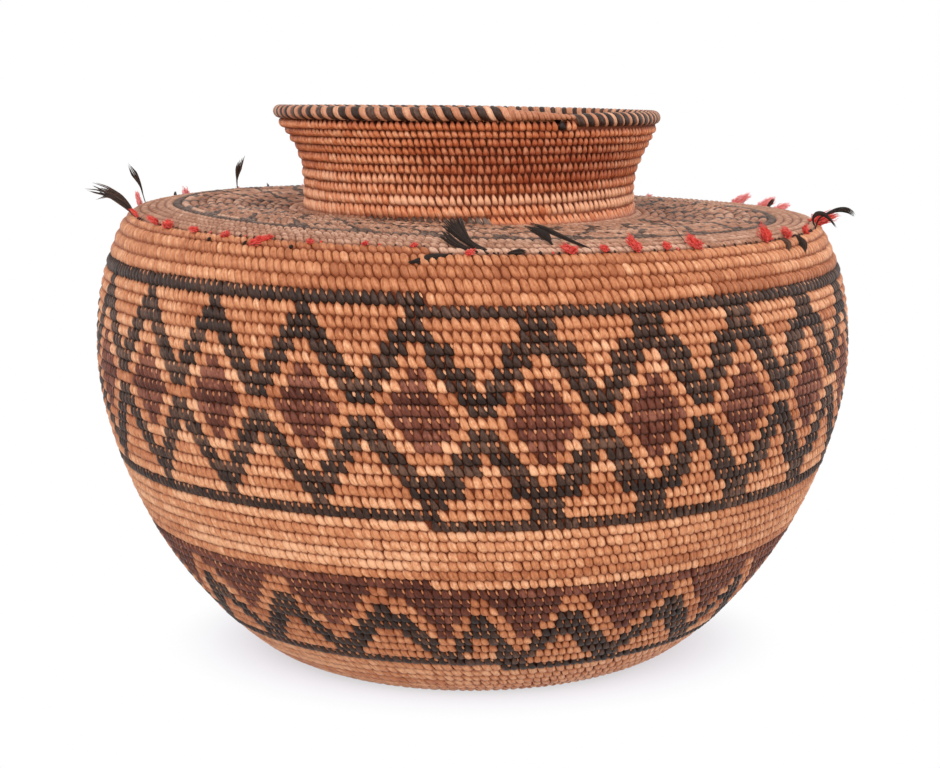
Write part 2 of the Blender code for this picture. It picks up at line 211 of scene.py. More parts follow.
# %% [markdown]
# ## The outline of the wall
#
# A potter would draw this shape as one line from the foot to the mouth, and spin it. The line here is
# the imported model's own: a quarter of a super-ellipse for the belly, a wall that leans in to the
# shoulder's edge, a nearly level shoulder and a neck that flares. Everything later is placed by the
# distance walked along this line, because that is how a basket grows: coil on coil.

# %% Outline
REST_RADIUS = 0.052
BELLY_RADIUS = 0.115
BELLY_HEIGHT = 0.094
EDGE_RADIUS = 0.105
EDGE_HEIGHT = 0.1354
EDGE_ROUNDING = 0.0046
FOOT_HEIGHT = EDGE_HEIGHT + 0.0018
NECK_RADIUS = 0.0505
FOOT_ROUNDING = 0.0018
NECK_STRAIGHT_HEIGHT = 0.0075
NECK_FLARE_HEIGHT = 0.0183
MOUTH_RADIUS = 0.0581
WALL_THICKNESS = 0.0036
LOWER_POWER = 2.0 / 1.6
BELLY_POWER = 2.0 / 1.7
UPPER_POWER = 2.45
SHOULDER_POWER = 3.0
NECK_POWER = 1.75


def between(first, last, share):
    return first + (last - first) * share


def line_of(radii, heights):
    return np.stack([radii, heights], axis=1)


def walked(points):
    """The distance walked along a line of points, at each point."""
    steps = np.linalg.norm(np.diff(points, axis=0), axis=1)
    return np.concatenate(([0.0], np.cumsum(steps)))


def bend_between(start, corner, end, share):
    """Points of the soft bend that leaves start and reaches end, pulled towards the corner."""
    share = np.asarray(share)[:, None]
    return (1 - share) ** 2 * start + 2 * share * (1 - share) * corner + share ** 2 * end


def join_rounded(first, second, reach):
    """Join two lines at their shared corner with a soft bend, and measure the way to mid-bend."""
    lengths = walked(first)
    start = np.array([np.interp(lengths[-1] - reach, lengths, first[:, axis]) for axis in (0, 1)])
    end = np.array([np.interp(reach, walked(second), second[:, axis]) for axis in (0, 1)])
    kept = first[lengths < lengths[-1] - reach]
    rest = second[walked(second) > reach]
    bend = bend_between(start, first[-1], end, np.linspace(0.0, 1.0, 13))
    return np.concatenate([kept, bend, rest]), walked(np.concatenate([kept, bend[:7]]))[-1]


turn = np.linspace(0.0, 0.5 * math.pi, 61)
share = np.linspace(0.0, 1.0, 31)
lower_wall = line_of(between(REST_RADIUS, BELLY_RADIUS, np.sin(turn) ** LOWER_POWER),
                     between(BELLY_HEIGHT, 0.0, np.cos(turn).clip(0.0) ** BELLY_POWER))
upper_wall = line_of(between(BELLY_RADIUS, EDGE_RADIUS, share ** UPPER_POWER),
                     between(BELLY_HEIGHT, EDGE_HEIGHT, share))
shoulder = line_of(between(EDGE_RADIUS, NECK_RADIUS, share),
                   between(FOOT_HEIGHT, EDGE_HEIGHT, (1.0 - share) ** SHOULDER_POWER))
flare = line_of(between(NECK_RADIUS, MOUTH_RADIUS, share ** NECK_POWER),
                FOOT_HEIGHT + NECK_STRAIGHT_HEIGHT + NECK_FLARE_HEIGHT * share)
neck = np.concatenate([[(NECK_RADIUS, FOOT_HEIGHT)], flare])
body, SEAM = join_rounded(np.concatenate([lower_wall, upper_wall[1:]]), shoulder, EDGE_ROUNDING)
whole, FOOT = join_rounded(body, neck, FOOT_ROUNDING)
MOUTH = walked(whole)[-1]
print(f"from the base's edge: wool seam {SEAM / MM:.1f}, neck {FOOT / MM:.1f}, mouth {MOUTH / MM:.1f} mm")

# %% The wall at any distance
FINE = 0.1 * MM
PAST_MOUTH = 10.0 * MM
distances = np.arange(-REST_RADIUS, MOUTH + PAST_MOUTH, FINE)
beyond = (distances - MOUTH).clip(0.0)
mouth_lean = (whole[-1] - whole[-3]) / np.linalg.norm(whole[-1] - whole[-3])
radii, heights = (np.interp(distances, walked(whole), whole[:, axis]) for axis in (0, 1))
radii = np.where(distances < 0.0, REST_RADIUS + distances, radii) + beyond * mouth_lean[0]
heights = heights + beyond * mouth_lean[1]


def smoothed_slope(values, reach=6):
    padded = np.pad(values, reach, mode="reflect", reflect_type="odd")
    return padded[2 * reach:] - padded[:-2 * reach]


along_r, along_z = smoothed_slope(radii), smoothed_slope(heights)
length = np.hypot(along_r, along_z)
along_r, along_z = along_r / length, along_z / length


def wall_at(distance):
    """Radius, height and the direction along the wall, at distances from the base's edge."""
    return tuple(np.interp(distance, distances, values) for values in (radii, heights, along_r, along_z))


print(f"{len(distances)} places on the wall, widest {2.0 * radii.max() / MM:.1f} mm across")

# %% [markdown]
# ## The spiral
#
# The weaver's coil never closes: after one turn it has climbed by its own thickness. So one number is
# enough to place anything, the count of turns since the base's edge. Its whole part is the row, its
# fraction is the way round. Turns below zero wind the flat base, and thinner coils build the neck.

# %% Spiral
ROW_START = -6.3
BASE_COIL = 3.25 * MM
FIRST_COIL = 3.5356 * MM
COIL_TAPER = 0.105 / 88.0
PLUMP_ROW, WOOL_ROW, NECK_ROW = 44, 48, 69
PLUMP_BOTTOM = 147.4 * MM
WOOL_BOTTOM = SEAM - 1.06 * MM
NECK_BOTTOM = FOOT - 2.84 * MM
NECK_COIL = 3.2 * MM
NECK_TAPER = 0.055 * MM
UNEVEN = 0.07 * MM


def coil_edge(turn):
    """Distance along the wall of the coil's lower edge, after so many turns."""
    turn = np.asarray(turn, dtype=float)
    wave = UNEVEN * (np.sin(21.2 * turn) + 0.7 * np.sin(49.7 * turn + 1.3)) * (turn / 2.0).clip(0.0, 1.0)
    belly = FIRST_COIL * (turn - COIL_TAPER * turn ** 2)
    plump = between(PLUMP_BOTTOM, WOOL_BOTTOM, (turn - PLUMP_ROW) / (WOOL_ROW - PLUMP_ROW))
    flat = between(WOOL_BOTTOM, NECK_BOTTOM, (turn - WOOL_ROW) / (NECK_ROW - WOOL_ROW))
    risen = turn - NECK_ROW
    throat = NECK_BOTTOM + NECK_COIL * risen - 0.5 * NECK_TAPER * risen ** 2
    where = [turn < 0.0, turn < PLUMP_ROW, turn < WOOL_ROW, turn < NECK_ROW]
    return np.select(where, [BASE_COIL * turn, belly, plump, flat], throat) + wave


def azimuth_of(turn):
    """Angle from the front, in radians, towards +X."""
    return np.radians(ROW_START + 360.0 * np.asarray(turn))


print("rows on the belly:", [round(float(coil_edge(n + 1) - coil_edge(n)) / MM, 2) for n in (0, 20, 42)])

# %% [markdown]
# ## Faults made by hand
#
# No basket is quite round or level. This one's shoulder slants, its mouth hangs lower behind, its neck
# stands a little to the left, and the shoulder sinks where the neck rises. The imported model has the
# large faults. They are repeated here with the small ones, and every later point goes through them.

# %% Faults made by hand
SHOULDER_DROP = 5.6 * MM
MOUTH_BACK_DROP = 2.8 * MM
MOUTH_SIDE_DROP = 0.85 * MM
SLANT_START, SLANT_FULL, SLANT_FADE = 35.0 * MM, 13.0 * MM, 24.0 * MM
ASIDE_PLACES = np.array([-24.0, 0.0, 10.0, 15.0, 20.0, 23.0, 27.5, 32.0]) * MM
NECK_ASIDE = np.array([0.0, -1.2, -1.1, -0.65, -0.55, -0.7, -1.2, -1.5]) * MM
DIP_PLACES = np.array([-30.0, -22.0, -14.0, -2.84, 0.3]) * MM
DIP_ANGLES = np.radians([-180.0, -90.0, -40.0, -6.0, 8.0, 25.0, 50.0, 90.0, 130.0, 180.0])
FOOT_DIPS = np.array([1.2, 0.9, 0.4, 0.8, 1.4, 1.8, 1.9, 1.9, 1.6, 1.2]) * MM
BACK_PLACES = [SEAM - 30.0 * MM, SEAM, FOOT - 6.0 * MM, FOOT]
BACK_DIP = 1.6 * MM
HEEL_PLACES = np.array([2.0, 8.0, 16.0, 28.0, 40.0]) * MM
HEEL_FULLNESS = np.array([0.0, 1.0, 1.2, 0.6, 0.0]) * MM
TUCK_START = FOOT + 8.0 * MM
MOUTH_TUCK = 0.7 * MM


def dips(x, y, distance):
    """How far the wall sinks round the neck's foot, and the shoulder at its back."""
    near = np.interp(distance - FOOT, DIP_PLACES, [0.0, 0.5, 1.0, 1.0, 0.0])
    behind = np.interp(distance, BACK_PLACES, [0.0, 1.0, 1.0, 0.0])
    share = (y.clip(0.0) / EDGE_RADIUS) ** 1.5 * (1.0 + 0.8 * x / EDGE_RADIUS)
    return near * np.interp(np.arctan2(x, -y), DIP_ANGLES, FOOT_DIPS), behind * share * BACK_DIP


def made_by_hand(x, y, z, distance):
    """The small faults of the real basket: its shoulder slants, its mouth dips, its neck stands aside."""
    risen = ((distance - SEAM + SLANT_START) / (SLANT_START + SLANT_FULL)).clip(0.0, 1.0) ** 2
    slant = np.minimum(risen, ((FOOT - distance) / SLANT_FADE).clip(0.0, 1.0))
    slant = slant * SHOULDER_DROP / (2.0 * EDGE_RADIUS)
    mouth = ((distance - FOOT) / (MOUTH - FOOT)).clip(0.0, 1.0) / (2.0 * MOUTH_RADIUS)
    by_the_neck, at_the_back = dips(x, y, distance)
    drop = x * (slant + mouth * MOUTH_SIDE_DROP) + (y + MOUTH_RADIUS) * mouth * MOUTH_BACK_DROP
    inwards = 1.0 - 1.1 * by_the_neck / NECK_RADIUS
    aside = np.interp(distance - FOOT, ASIDE_PLACES, NECK_ASIDE)
    return np.stack([x * inwards + aside, y * inwards, z - drop - by_the_neck - at_the_back], axis=-1)


def on_wall(distance, azimuth, off):
    """Points at a distance along the wall, at an angle, and at a height off it."""
    radius, height, step_r, step_z = wall_at(distance)
    off = off + np.interp(distance, HEEL_PLACES, HEEL_FULLNESS)
    tucked = ((distance - TUCK_START) / (MOUTH - TUCK_START)).clip(0.0, 1.3) * MOUTH_TUCK
    radius = radius - tucked + off * step_z
    height = height - off * step_r
    return made_by_hand(radius * np.sin(azimuth), -radius * np.cos(azimuth), height, distance)


front, back = (float(on_wall(MOUTH, turn, 0.0)[2]) / MM for turn in (0.0, math.pi))
print(f"the mouth is {front:.1f} mm high in front and {back:.1f} mm behind")

# %% [markdown]
# ## Gathering many small parts in one mesh
#
# Nineteen thousand separate objects would be slow to draw and hard to handle. Each stitch is only a
# small sheet of points in rows and columns, so all stitches of one band and colour go into one mesh.
# Four numbers travel with each point for the finish: the strand's tone, its stain, and the place along
# and across it. A second use of the rows and columns is a map with one cell for each stitch.

# %% Piles of small parts
seed = np.random.default_rng
CELL_MARGIN = 0.04


class Pile:
    """Sheets or tubes of points that become one mesh."""

    def __init__(self):
        self.points, self.faces, self.spots, self.marks, self.total = [], [], [], [], 0

    def add(self, points, tone, stain=0.0, along=None, across=None, closed=False, flip=False):
        """points holds one (rows, columns, 3) sheet for each part; a closed one is a tube."""
        count, rows, columns, _ = points.shape
        along = np.linspace(0.0, 1.0, rows) if along is None else np.asarray(along)
        across = np.linspace(-1.0, 1.0, columns) if across is None else across
        number = np.arange(rows * columns).reshape(rows, columns)
        beside = np.roll(number, -1, axis=1) if closed else number[:, 1:]
        here = number if closed else number[:, :-1]
        quads = np.stack([here[:-1], beside[:-1], beside[1:], here[1:]], axis=-1).reshape(-1, 4)
        sides = (np.linspace(CELL_MARGIN, 1.0 - CELL_MARGIN, size) for size in (rows, columns))
        cell = np.stack(np.meshgrid(*sides, indexing="ij")[::-1], axis=-1).reshape(-1, 2)
        if closed:
            lid = [(i, i + 1, columns - 2 - i, columns - 1 - i) for i in range(columns // 2 - 1)]
            quads = np.concatenate([quads, number[0, ::-1][lid], number[-1][lid]])
        quads = quads[:, ::-1] if flip else quads
        first = (np.arange(count) * rows * columns + self.total)[:, None, None]
        self.points.append(points.reshape(-1, 3))
        self.faces.append((quads[None] + first).reshape(-1, 4))
        self.spots.append(np.broadcast_to(cell[quads][None], (count, len(quads), 4, 2)))
        marks = (np.reshape(tone, (-1, 1, 1)), np.reshape(stain, (-1, 1, 1)), along[:, None], across)
        marks = [np.broadcast_to(mark, (count, rows, columns)) for mark in marks]
        self.marks.append(np.stack(marks).reshape(4, -1))
        self.total += count * rows * columns

    def map_cells(self):
        """Give each part its own square cell of the map."""
        side = math.ceil(math.sqrt(sum(len(spots) for spots in self.spots)))
        laid, start = [], 0
        for spots in self.spots:
            cell = start + np.arange(len(spots))
            corner = np.stack([cell % side, cell // side], axis=-1)[:, None, None, :]
            laid.append(((spots + corner) / side).reshape(-1, 2))
            start += len(spots)
        return np.concatenate(laid)

    def make(self, name, finish, nodes=()):
        """Build the mesh and its object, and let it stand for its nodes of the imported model."""
        material, slot = FINISH[finish]
        points = np.concatenate(self.points)
        faces = np.concatenate(self.faces)
        mesh = bpy.data.meshes.new(name)
        mesh.vertices.add(len(points))
        mesh.vertices.foreach_set("co", points.ravel())
        mesh.loops.add(faces.size)
        mesh.loops.foreach_set("vertex_index", faces.ravel())
        mesh.polygons.add(len(faces))
        mesh.polygons.foreach_set("loop_start", np.arange(0, faces.size, 4))
        mesh.update(calc_edges=True)
        mesh.shade_smooth()
        for mark, values in zip(("tone", "stain", "along", "across"), np.concatenate(self.marks, axis=1)):
            mesh.attributes.new(mark, "FLOAT", "POINT").data.foreach_set("value", values)
        mesh.uv_layers.new(name="OFBake").data.foreach_set("uv", self.map_cells().ravel())
        mesh.validate()
        mesh.materials.append(material)
        piece = put_in_scene(name, mesh)
        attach(piece, "root")
        if nodes:
            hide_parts(*nodes)
        print(f"{name}: {len(faces)} faces")


print("ready to gather stitches")

# %% [markdown]
# ## What a strand looks like
#
# Split sedge root is tan, with fine lines along the fibre and a dull shine. Redbud bark is red-brown
# and bracken root is dyed nearly black. All three share one effect: streaks that run along each
# stitch, and painted shade at its sides, its ends and its foot, where it dives under its neighbours.
# It is a shader group that reads the numbers carried by the mesh. Each material then places it with
# colours of its own.

# %% Shader group for sewn strands
STREAKS_ACROSS = 2.2
STREAKS_ALONG = 1.3
STREAKS_APART = 90.0
BLOTCH_SCALE = 60.0
GRAIN_SCALE = 1100.0


def attribute(tree, name):
    return add_node(tree, "Attribute", attribute_name=name), "Fac"


def noise(tree, place, scale, detail=4.0):
    return add_node(tree, "TexNoise", {"Vector": place, "Scale": scale, "Detail": detail}), "Fac"


strand_group = tree = bpy.data.node_groups.new("sewn_strand", "ShaderNodeTree")
EFFECTS = ("Streak", "Crease", "Blotch", "Grain")
for name, way in [("Dark Foot", "INPUT")] + [(name, "OUTPUT") for name in EFFECTS]:
    tree.interface.new_socket(name, in_out=way, socket_type="NodeSocketFloat")
dark_foot = (tree.nodes.new("NodeGroupInput"), "Dark Foot")
across, along, tone = (attribute(tree, name) for name in ("across", "along", "tone"))
strand_place = add_node(tree, "CombineXYZ", {
    0: maths(tree, "MULTIPLY", across, STREAKS_ACROSS),
    1: maths(tree, "MULTIPLY", along, STREAKS_ALONG),
    2: maths(tree, "MULTIPLY", tone, STREAKS_APART)})
# The Crease mask is painted shade: dark at the stitch's sides and ends, and from its foot up to Dark Foot
side = maths(tree, "POWER", maths(tree, "ABSOLUTE", across), 7.0)
end = maths(tree, "POWER", maths(tree, "ABSOLUTE", maths(tree, "MULTIPLY_ADD", along, 2.0, -1.0)), 4.0)
foot = maths(tree, "MULTIPLY", maths(tree, "SUBTRACT", dark_foot, along, clamp=True), 1.2)
spot = (add_node(tree, "TexCoord"), "Object")
feed(tree, tree.nodes.new("NodeGroupOutput"), {
    "Streak": noise(tree, (strand_place, 0), 1.0),
    "Crease": maths(tree, "ADD", maths(tree, "MAXIMUM", side, end), foot, clamp=True),
    "Blotch": noise(tree, spot, BLOTCH_SCALE),
    "Grain": noise(tree, spot, GRAIN_SCALE)})
print("group sewn_strand has", [socket.name for socket in strand_group.interface.items_tree])

# %% [markdown]
# ## Strand materials
#
# A weaver uses up a strand after some thirty stitches, so neighbours share a tone and it changes in
# steps. The ramp turns that tone into one of a few shades. The streaks and blotches move it a little,
# a painted shade darkens the creases and the stitch's foot, and the stain takes the places that were
# handled or soaked. The stain is stronger at each stitch's foot, which paints shade there too.

# %% Strand materials
SOAKED = (0.50, 0.30, 0.27)
STRAND_BUMP = (0.8, 0.32 * MM)
TONE_MOVES = {"Streak": 1.5, "Blotch": 0.45, "Grain": 0.9}


def ramp(tree, amount, shades):
    """One of evenly spaced shades for a number from 0 to 1."""
    node = add_node(tree, "ValToRGB", {0: amount})
    stops = node.color_ramp.elements
    while len(stops) < len(shades):
        stops.new(0.5)
    for index, shade in enumerate(shades):
        stops[index].position = index / (len(shades) - 1)
        stops[index].color = (*shade, 1.0)
    return node, "Color"


def surface(tree, colour, specular, uneven, gloss, relief, bump):
    """Give the shader its colour, a roughness between two values, and a relief."""
    rough = add_node(tree, "MapRange", {"Value": uneven, "To Min": gloss[0], "To Max": gloss[1]})
    bumped = add_node(tree, "Bump", {"Strength": bump[0], "Distance": bump[1], "Height": relief})
    feed(tree, tree.nodes["Principled BSDF"], {
        "Base Color": colour, "Specular IOR Level": specular,
        "Roughness": (rough, 0), "Normal": (bumped, "Normal")})


def strand_material(name, shades, crease_shade, gloss=(0.36, 0.58), specular=0.3, grip=0.75, foot=0.35):
    """grip is how strongly the painted shade covers the creases, foot how far that painted shade darkens
    the stitch's foot.
    """
    material, tree = new_material(name)
    strand = add_node(tree, "Group", {"Dark Foot": foot}, node_tree=strand_group)
    streak, crease, _, grain = ((strand, effect) for effect in EFFECTS)
    moved = attribute(tree, "tone")
    for effect, amount in TONE_MOVES.items():
        shift = maths(tree, "MULTIPLY_ADD", (strand, effect), amount, -0.5 * amount)
        moved = maths(tree, "ADD", moved, shift)
    # The stain is stronger at each stitch's foot and weaker at its top: a real stain with painted shade at
    # the foot
    lower = maths(tree, "MULTIPLY_ADD", attribute(tree, "along"), -0.7, 1.2)
    stain_and_shade = maths(tree, "MULTIPLY", attribute(tree, "stain"), lower, clamp=True)
    stained = mix_colours(tree, stain_and_shade, ramp(tree, moved, shades), SOAKED, "MULTIPLY")
    # Painted shade: the crease colour darkens the sides, ends and foot of each stitch
    shaded = mix_colours(tree, maths(tree, "MULTIPLY", crease, grip, clamp=True), stained, crease_shade)
    relief = maths(tree, "ADD", streak, maths(tree, "MULTIPLY", grain, 0.6))
    surface(tree, shaded, specular, streak, gloss, relief, STRAND_BUMP)
    return material


print("a strand's tone is moved by", list(TONE_MOVES))

# %% Colours and finishes
# The colour of the painted shade in the creases and at the foot of tan stitches
CREASE_SHADE = (0.24, 0.058, 0.021)
TAN = [(0.34, 0.105, 0.038), (0.46, 0.163, 0.067), (0.56, 0.222, 0.099), (0.65, 0.29, 0.142),
       (0.80, 0.435, 0.25)]
TOP_TAN = [(0.25, 0.10, 0.054), (0.37, 0.175, 0.104), (0.475, 0.245, 0.155), (0.64, 0.385, 0.27)]
NECK_TAN = [(0.47, 0.113, 0.037), (0.65, 0.192, 0.072), (0.79, 0.295, 0.133), (0.93, 0.47, 0.27)]
RIM_TAN = [(0.38, 0.13, 0.06), (0.50, 0.20, 0.105), (0.60, 0.28, 0.16), (0.76, 0.42, 0.27)]
RED_BROWN = [(0.06, 0.014, 0.007), (0.11, 0.028, 0.015), (0.165, 0.047, 0.027), (0.27, 0.095, 0.058)]
DARK = [(0.013, 0.004, 0.002), (0.028, 0.0105, 0.0055), (0.052, 0.022, 0.0135), (0.13, 0.063, 0.040)]
FADED = [(0.048, 0.026, 0.018), (0.088, 0.051, 0.037), (0.135, 0.084, 0.063), (0.24, 0.16, 0.125)]

# Each finish is a material with the name of its slot; a strand material's third value is the colour
# of its painted crease shade
FINISH = {
    "sedge": (strand_material("sedge_root", TAN, CREASE_SHADE), "sedge"),
    # The top of the shoulder gets a greyer, pinker tan
    "top_sedge": (strand_material("shoulder_top_sedge_root", TOP_TAN, (0.17, 0.06, 0.032), (0.5, 0.7)), "sedge"),
    "neck_sedge": (strand_material("handled_sedge_root", NECK_TAN, (0.20, 0.036, 0.015), foot=0.50),
                   "sedge"),
    "rim_sedge": (strand_material("rim_sedge_root", RIM_TAN, CREASE_SHADE, grip=0.6), "sedge"),
    "redbud": (strand_material("redbud_bark", RED_BROWN, (0.03, 0.009, 0.006), specular=0.2), "redbud"),
    "bracken": (strand_material("dyed_bracken_root", DARK, (0.012, 0.006, 0.004), specular=0.25),
                "bracken"),
    "faded_bracken": (strand_material("faded_bracken_root", FADED, (0.03, 0.014, 0.01), specular=0.15),
                      "bracken"),
}
print("strand finishes:", sorted(FINISH))

# %% [markdown]
# ## The shape of one stitch
#
# A strand comes out of the seam below, crosses the plump coil and dives into the seam above. Its foot
# is pinched between the two stitches under it, and it leans a little against the sewing direction. So
# a stitch is a small pillow: rows up the coil with their own width and height, and seven columns that
# fall off at both sides. Rows of these pillows lock into each other like grains on a cob.

# %% Stitch shapes
ACROSS = np.array([-1.0, -0.90, -0.55, 0.0, 0.55, 0.90, 1.0])
SIDE_FALL = np.array([0.95, 0.42, 0.12, 0.0, 0.12, 0.42, 0.95])
# For rows up the coil: their height in coils, width in stitches and height in millimetres
STITCH_FORMS = {
    "plain": dict(up=[-.17, -.06, .10, .32, .56, .80, .98, 1.10],
                  width=[.20, .62, .96, 1.06, 1.06, .92, .60, .18],
                  lift=[-.85, -.42, -.02, .26, .32, .12, -.32, -.80], lean=0.50),
    "grain": dict(up=[-.12, -.02, .12, .32, .56, .80, 1.02, 1.20],
                  width=[.32, .78, 1.04, 1.06, .98, .74, .42, .10],
                  lift=[-.88, -.42, .08, .38, .42, .22, -.08, -.60], lean=0.50),
    "spire": dict(up=[-.12, -.02, .12, .32, .56, .80, 1.02, 1.18],
                  width=[.34, .74, .98, .98, .84, .58, .30, .06],
                  lift=[-1.0, -.50, .04, .40, .50, .32, .02, -.55], lean=0.34),
    "bead": dict(up=[-.10, .0, .14, .36, .60, .80, .96, 1.08],
                 width=[.36, .74, .96, .98, .90, .70, .42, .12],
                 lift=[-1.1, -.55, .02, .42, .50, .24, -.22, -.85], lean=0.24),
    "flat": dict(up=[-.10, .0, .16, .38, .62, .84, 1.0, 1.10],
                 width=[.5, .86, 1.0, 1.0, 1.0, .96, .80, .4],
                 lift=[-.45, -.18, .0, .08, .08, .0, -.18, -.45], lean=0.55),
    "ground": dict(up=[-.08, .12, .5, .88, 1.04],
                   width=[.3, .86, .95, .80, .3], lift=[-.55, .0, .28, -.02, -.6], lean=0.4),
    "dash": dict(up=[.40, .56, .78, .98], width=[.06, .25, .22, .06], lift=[-.30, -.04, -.06, -.34],
                 lean=0.55, aside=0.48, fall=0.25),
    "fleck": dict(up=[.52, .64, .82, .96], width=[.16, .36, .34, .14], lift=[-.34, -.10, -.12, -.40],
                  lean=0.55, aside=0.48, fall=0.25),
}
print("stitch forms:", sorted(STITCH_FORMS))

# %% Points of a stitch
ROLL = 0.10
NORMAL_PITCH = 2.4 * MM
# How much a stitch's foot, tip, lean, width, place, height and roll vary
VARIES = np.array([0.025, 0.03, 0.08, 0.07, 0.04, 0.12, 0.06])[:, None, None, None]
RIPPLE_PLACES = np.array([0.0, 4.0, 22.0, 25.0]) * MM
RIPPLE_HEIGHTS = [0.0, 0.16, 0.16, 0.0]
RIPPLE_PACE = 3.05
BASE_PLACES = np.array([-52.0, 1.0, 9.0]) * MM
BASE_HEIGHTS = [-0.36, -0.36, 0.0]
INSIDE_HEIGHT = 0.8


def neck_ripple(edge, turn):
    """On the neck every second coil stands out a little more than the next."""
    return np.interp(edge - FOOT, RIPPLE_PLACES, RIPPLE_HEIGHTS) * np.sin(RIPPLE_PACE * turn)


def stitch_points(turn, pitch, form, chance, inside=False):
    """The points of stitches that are sewn at the given turns; pitch is each one's share of a turn."""
    shape = STITCH_FORMS[form]
    up, width, lift = (np.asarray(shape[key])[None, :, None] for key in ("up", "width", "lift"))
    vary = VARIES * chance.normal(0.0, 1.0, (7, len(turn), 1, 1)).clip(-2.2, 2.2)
    foot, tip, tilt, wider, beside, higher, rolled = vary
    low, high = coil_edge(turn)[:, None, None], coil_edge(turn + 1.0)[:, None, None]
    up = up + foot * (up < 0.5) + tip * (up > 0.5)
    distance = low + (high - low) * up
    share = pitch[:, None, None] * FULL_TURN
    size = (share * wall_at(low)[0].clip(3.0 * MM) / NORMAL_PITCH).clip(0.6, 1.15)
    fall = SIDE_FALL[::2 if inside else 1] * shape.get("fall", 1.0)
    over = ACROSS[::2 if inside else 1] * width * (1.0 + wider)
    sideways = (shape["lean"] + tilt) * (0.5 - up) + 0.5 * over + shape.get("aside", 0.0) + beside
    azimuth = azimuth_of(turn)[:, None, None] + sideways * share
    proud = (lift * (1.0 + higher) - fall - (ROLL + rolled) * over) * size
    proud = proud + neck_ripple(low, turn[:, None, None])
    if inside:
        return on_wall(distance, azimuth, -WALL_THICKNESS - INSIDE_HEIGHT * proud * MM)
    return on_wall(distance, azimuth, (proud + np.interp(distance, BASE_PLACES, BASE_HEIGHTS)) * MM)


def strand_tones(count, chance, run=33):
    """Tones that stay together while one strand lasts."""
    strands = chance.normal(0.5, 0.17, count // run + 2)
    return (np.repeat(strands, run)[:count] + chance.normal(0.0, 0.11, count)).clip(0.02, 0.98)


def sew(pile, turn, share, form, chance, tone, stain=0.0, inside=False):
    """Add stitches to a pile. On the inside, every second column is enough."""
    points = stitch_points(turn, share, form, chance, inside)
    pile.add(points, tone, stain, STITCH_FORMS[form]["up"], ACROSS[::2 if inside else 1], flip=inside)


print("a grain stitch has", len(STITCH_FORMS["grain"]["up"]) * len(ACROSS), "points")

# %% [markdown]
# ## Counting the patterns
#
# The weaver counts stitches, not millimetres. The wide band repeats a stepped diamond over thirteen
# stitches, with dark triangles above and below that join into one zigzag. The low band steps a dark
# line through red-brown and tan. Each pattern is a rule of two counts, the row and the stitch. The
# repeats aren't equal, because a hand-made count never comes out even, so a list says where each
# diamond stands.

# %% Pattern rules
SEDGE, REDBUD, BRACKEN = 0, 1, 2
DIAMOND_MIDDLE = 9
DIAMOND_REACH = 6


def diamond_rule(row, aside):
    """row is 1 to 17 from the top; aside is the stitch's place from the diamond's middle."""
    reach = DIAMOND_REACH - abs(row - DIAMOND_MIDDLE)
    aside = np.abs(aside)
    tan_frame = (aside < reach) | (row == DIAMOND_MIDDLE)
    rules = [aside < reach - 2, tan_frame, aside < reach + 3.5]
    return np.select(rules, [REDBUD, SEDGE, BRACKEN], SEDGE)


def zigzag_rule(row, aside):
    """row is 1 to 10 from the top; aside runs to 6 halfway between two peaks."""
    aside = np.abs(aside)
    rules = [aside >= row - 1, aside >= row - 3, aside >= row - 6]
    return np.select(rules, [REDBUD, SEDGE, BRACKEN], SEDGE)


def border_rule(row, aside):
    return np.full(len(aside), BRACKEN)


DIAMONDS = [-51.3, -37.0, -22.4, -6.8, 9.35, 24.6, 39.9, 55.4]
DIAMOND_COUNT = 23
PEAKS = [-52.9, -43.6, -33.5, -25.1, -14.7, -4.9, 1.3, 9.0, 16.3, 28.1, 36.8, 49.0, 56.0]
PEAK_COUNT = 20


def fill_round(seen, step, count):
    """Add the unseen marks of a band, evenly spaced, up to one mark past the full turn."""
    total = count * round(1.0 / step)
    unseen = np.linspace(seen[-1], seen[0] + 360.0, total - len(seen) + 2)[1:]
    return np.arange(total + 1) * step, np.concatenate([seen, unseen])


diamond_marks = fill_round(DIAMONDS, 1.0, DIAMOND_COUNT)
peak_marks = fill_round(PEAKS, 0.5, PEAK_COUNT)


def diamond_angle(place):
    """Angle of a place counted in diamonds. The counts go on past the full turn."""
    turns = np.floor(place / DIAMOND_COUNT)
    return np.interp(place - turns * DIAMOND_COUNT, *diamond_marks) + 360.0 * turns


print("repeats:", DIAMOND_COUNT, "diamonds,", PEAK_COUNT, "peaks")

# %% [markdown]
# ## Planning every row
#
# The plan is a list of stitches: the turn at which each is sewn, its share of the turn, and its
# colour. Plain rows are even. Pattern rows are placed by their counts, so the columns line up, and
# the row steps up by one at the front, where each turn of the spiral starts.

# %% Plans of plain rows
def joined(rows):
    """One band from its rows, which hold turns, shares and often kinds."""
    return tuple(np.concatenate(parts) for parts in zip(*rows))


def even_rows(first, last, per_turn):
    count = round((last - first) * per_turn)
    turn = first + (np.arange(count) + 0.5) * (last - first) / count
    return turn, np.full(count, (last - first) / count)


def plain_band(*pieces, kind=SEDGE):
    turn, share = joined(even_rows(*piece) for piece in pieces)
    return turn, share, np.full(len(turn), kind)


print("one plain row:", len(plain_band((PLUMP_ROW, PLUMP_ROW + 1, 286))[0]), "stitches")

# %% Plans of pattern rows
DIAMOND_STITCHES = 13
DRIFT_MIDDLE = 34
LOWER_BORDER, UPPER_BORDER = 25, 43
PEAK_STITCHES = 12
PLAIN_BELLY = 19
NET_START = 54
NET_REPEATS = 28
NET_SHIFT = 0.1
NECK_START = 69.037
NECK_LINE_START = 68.92
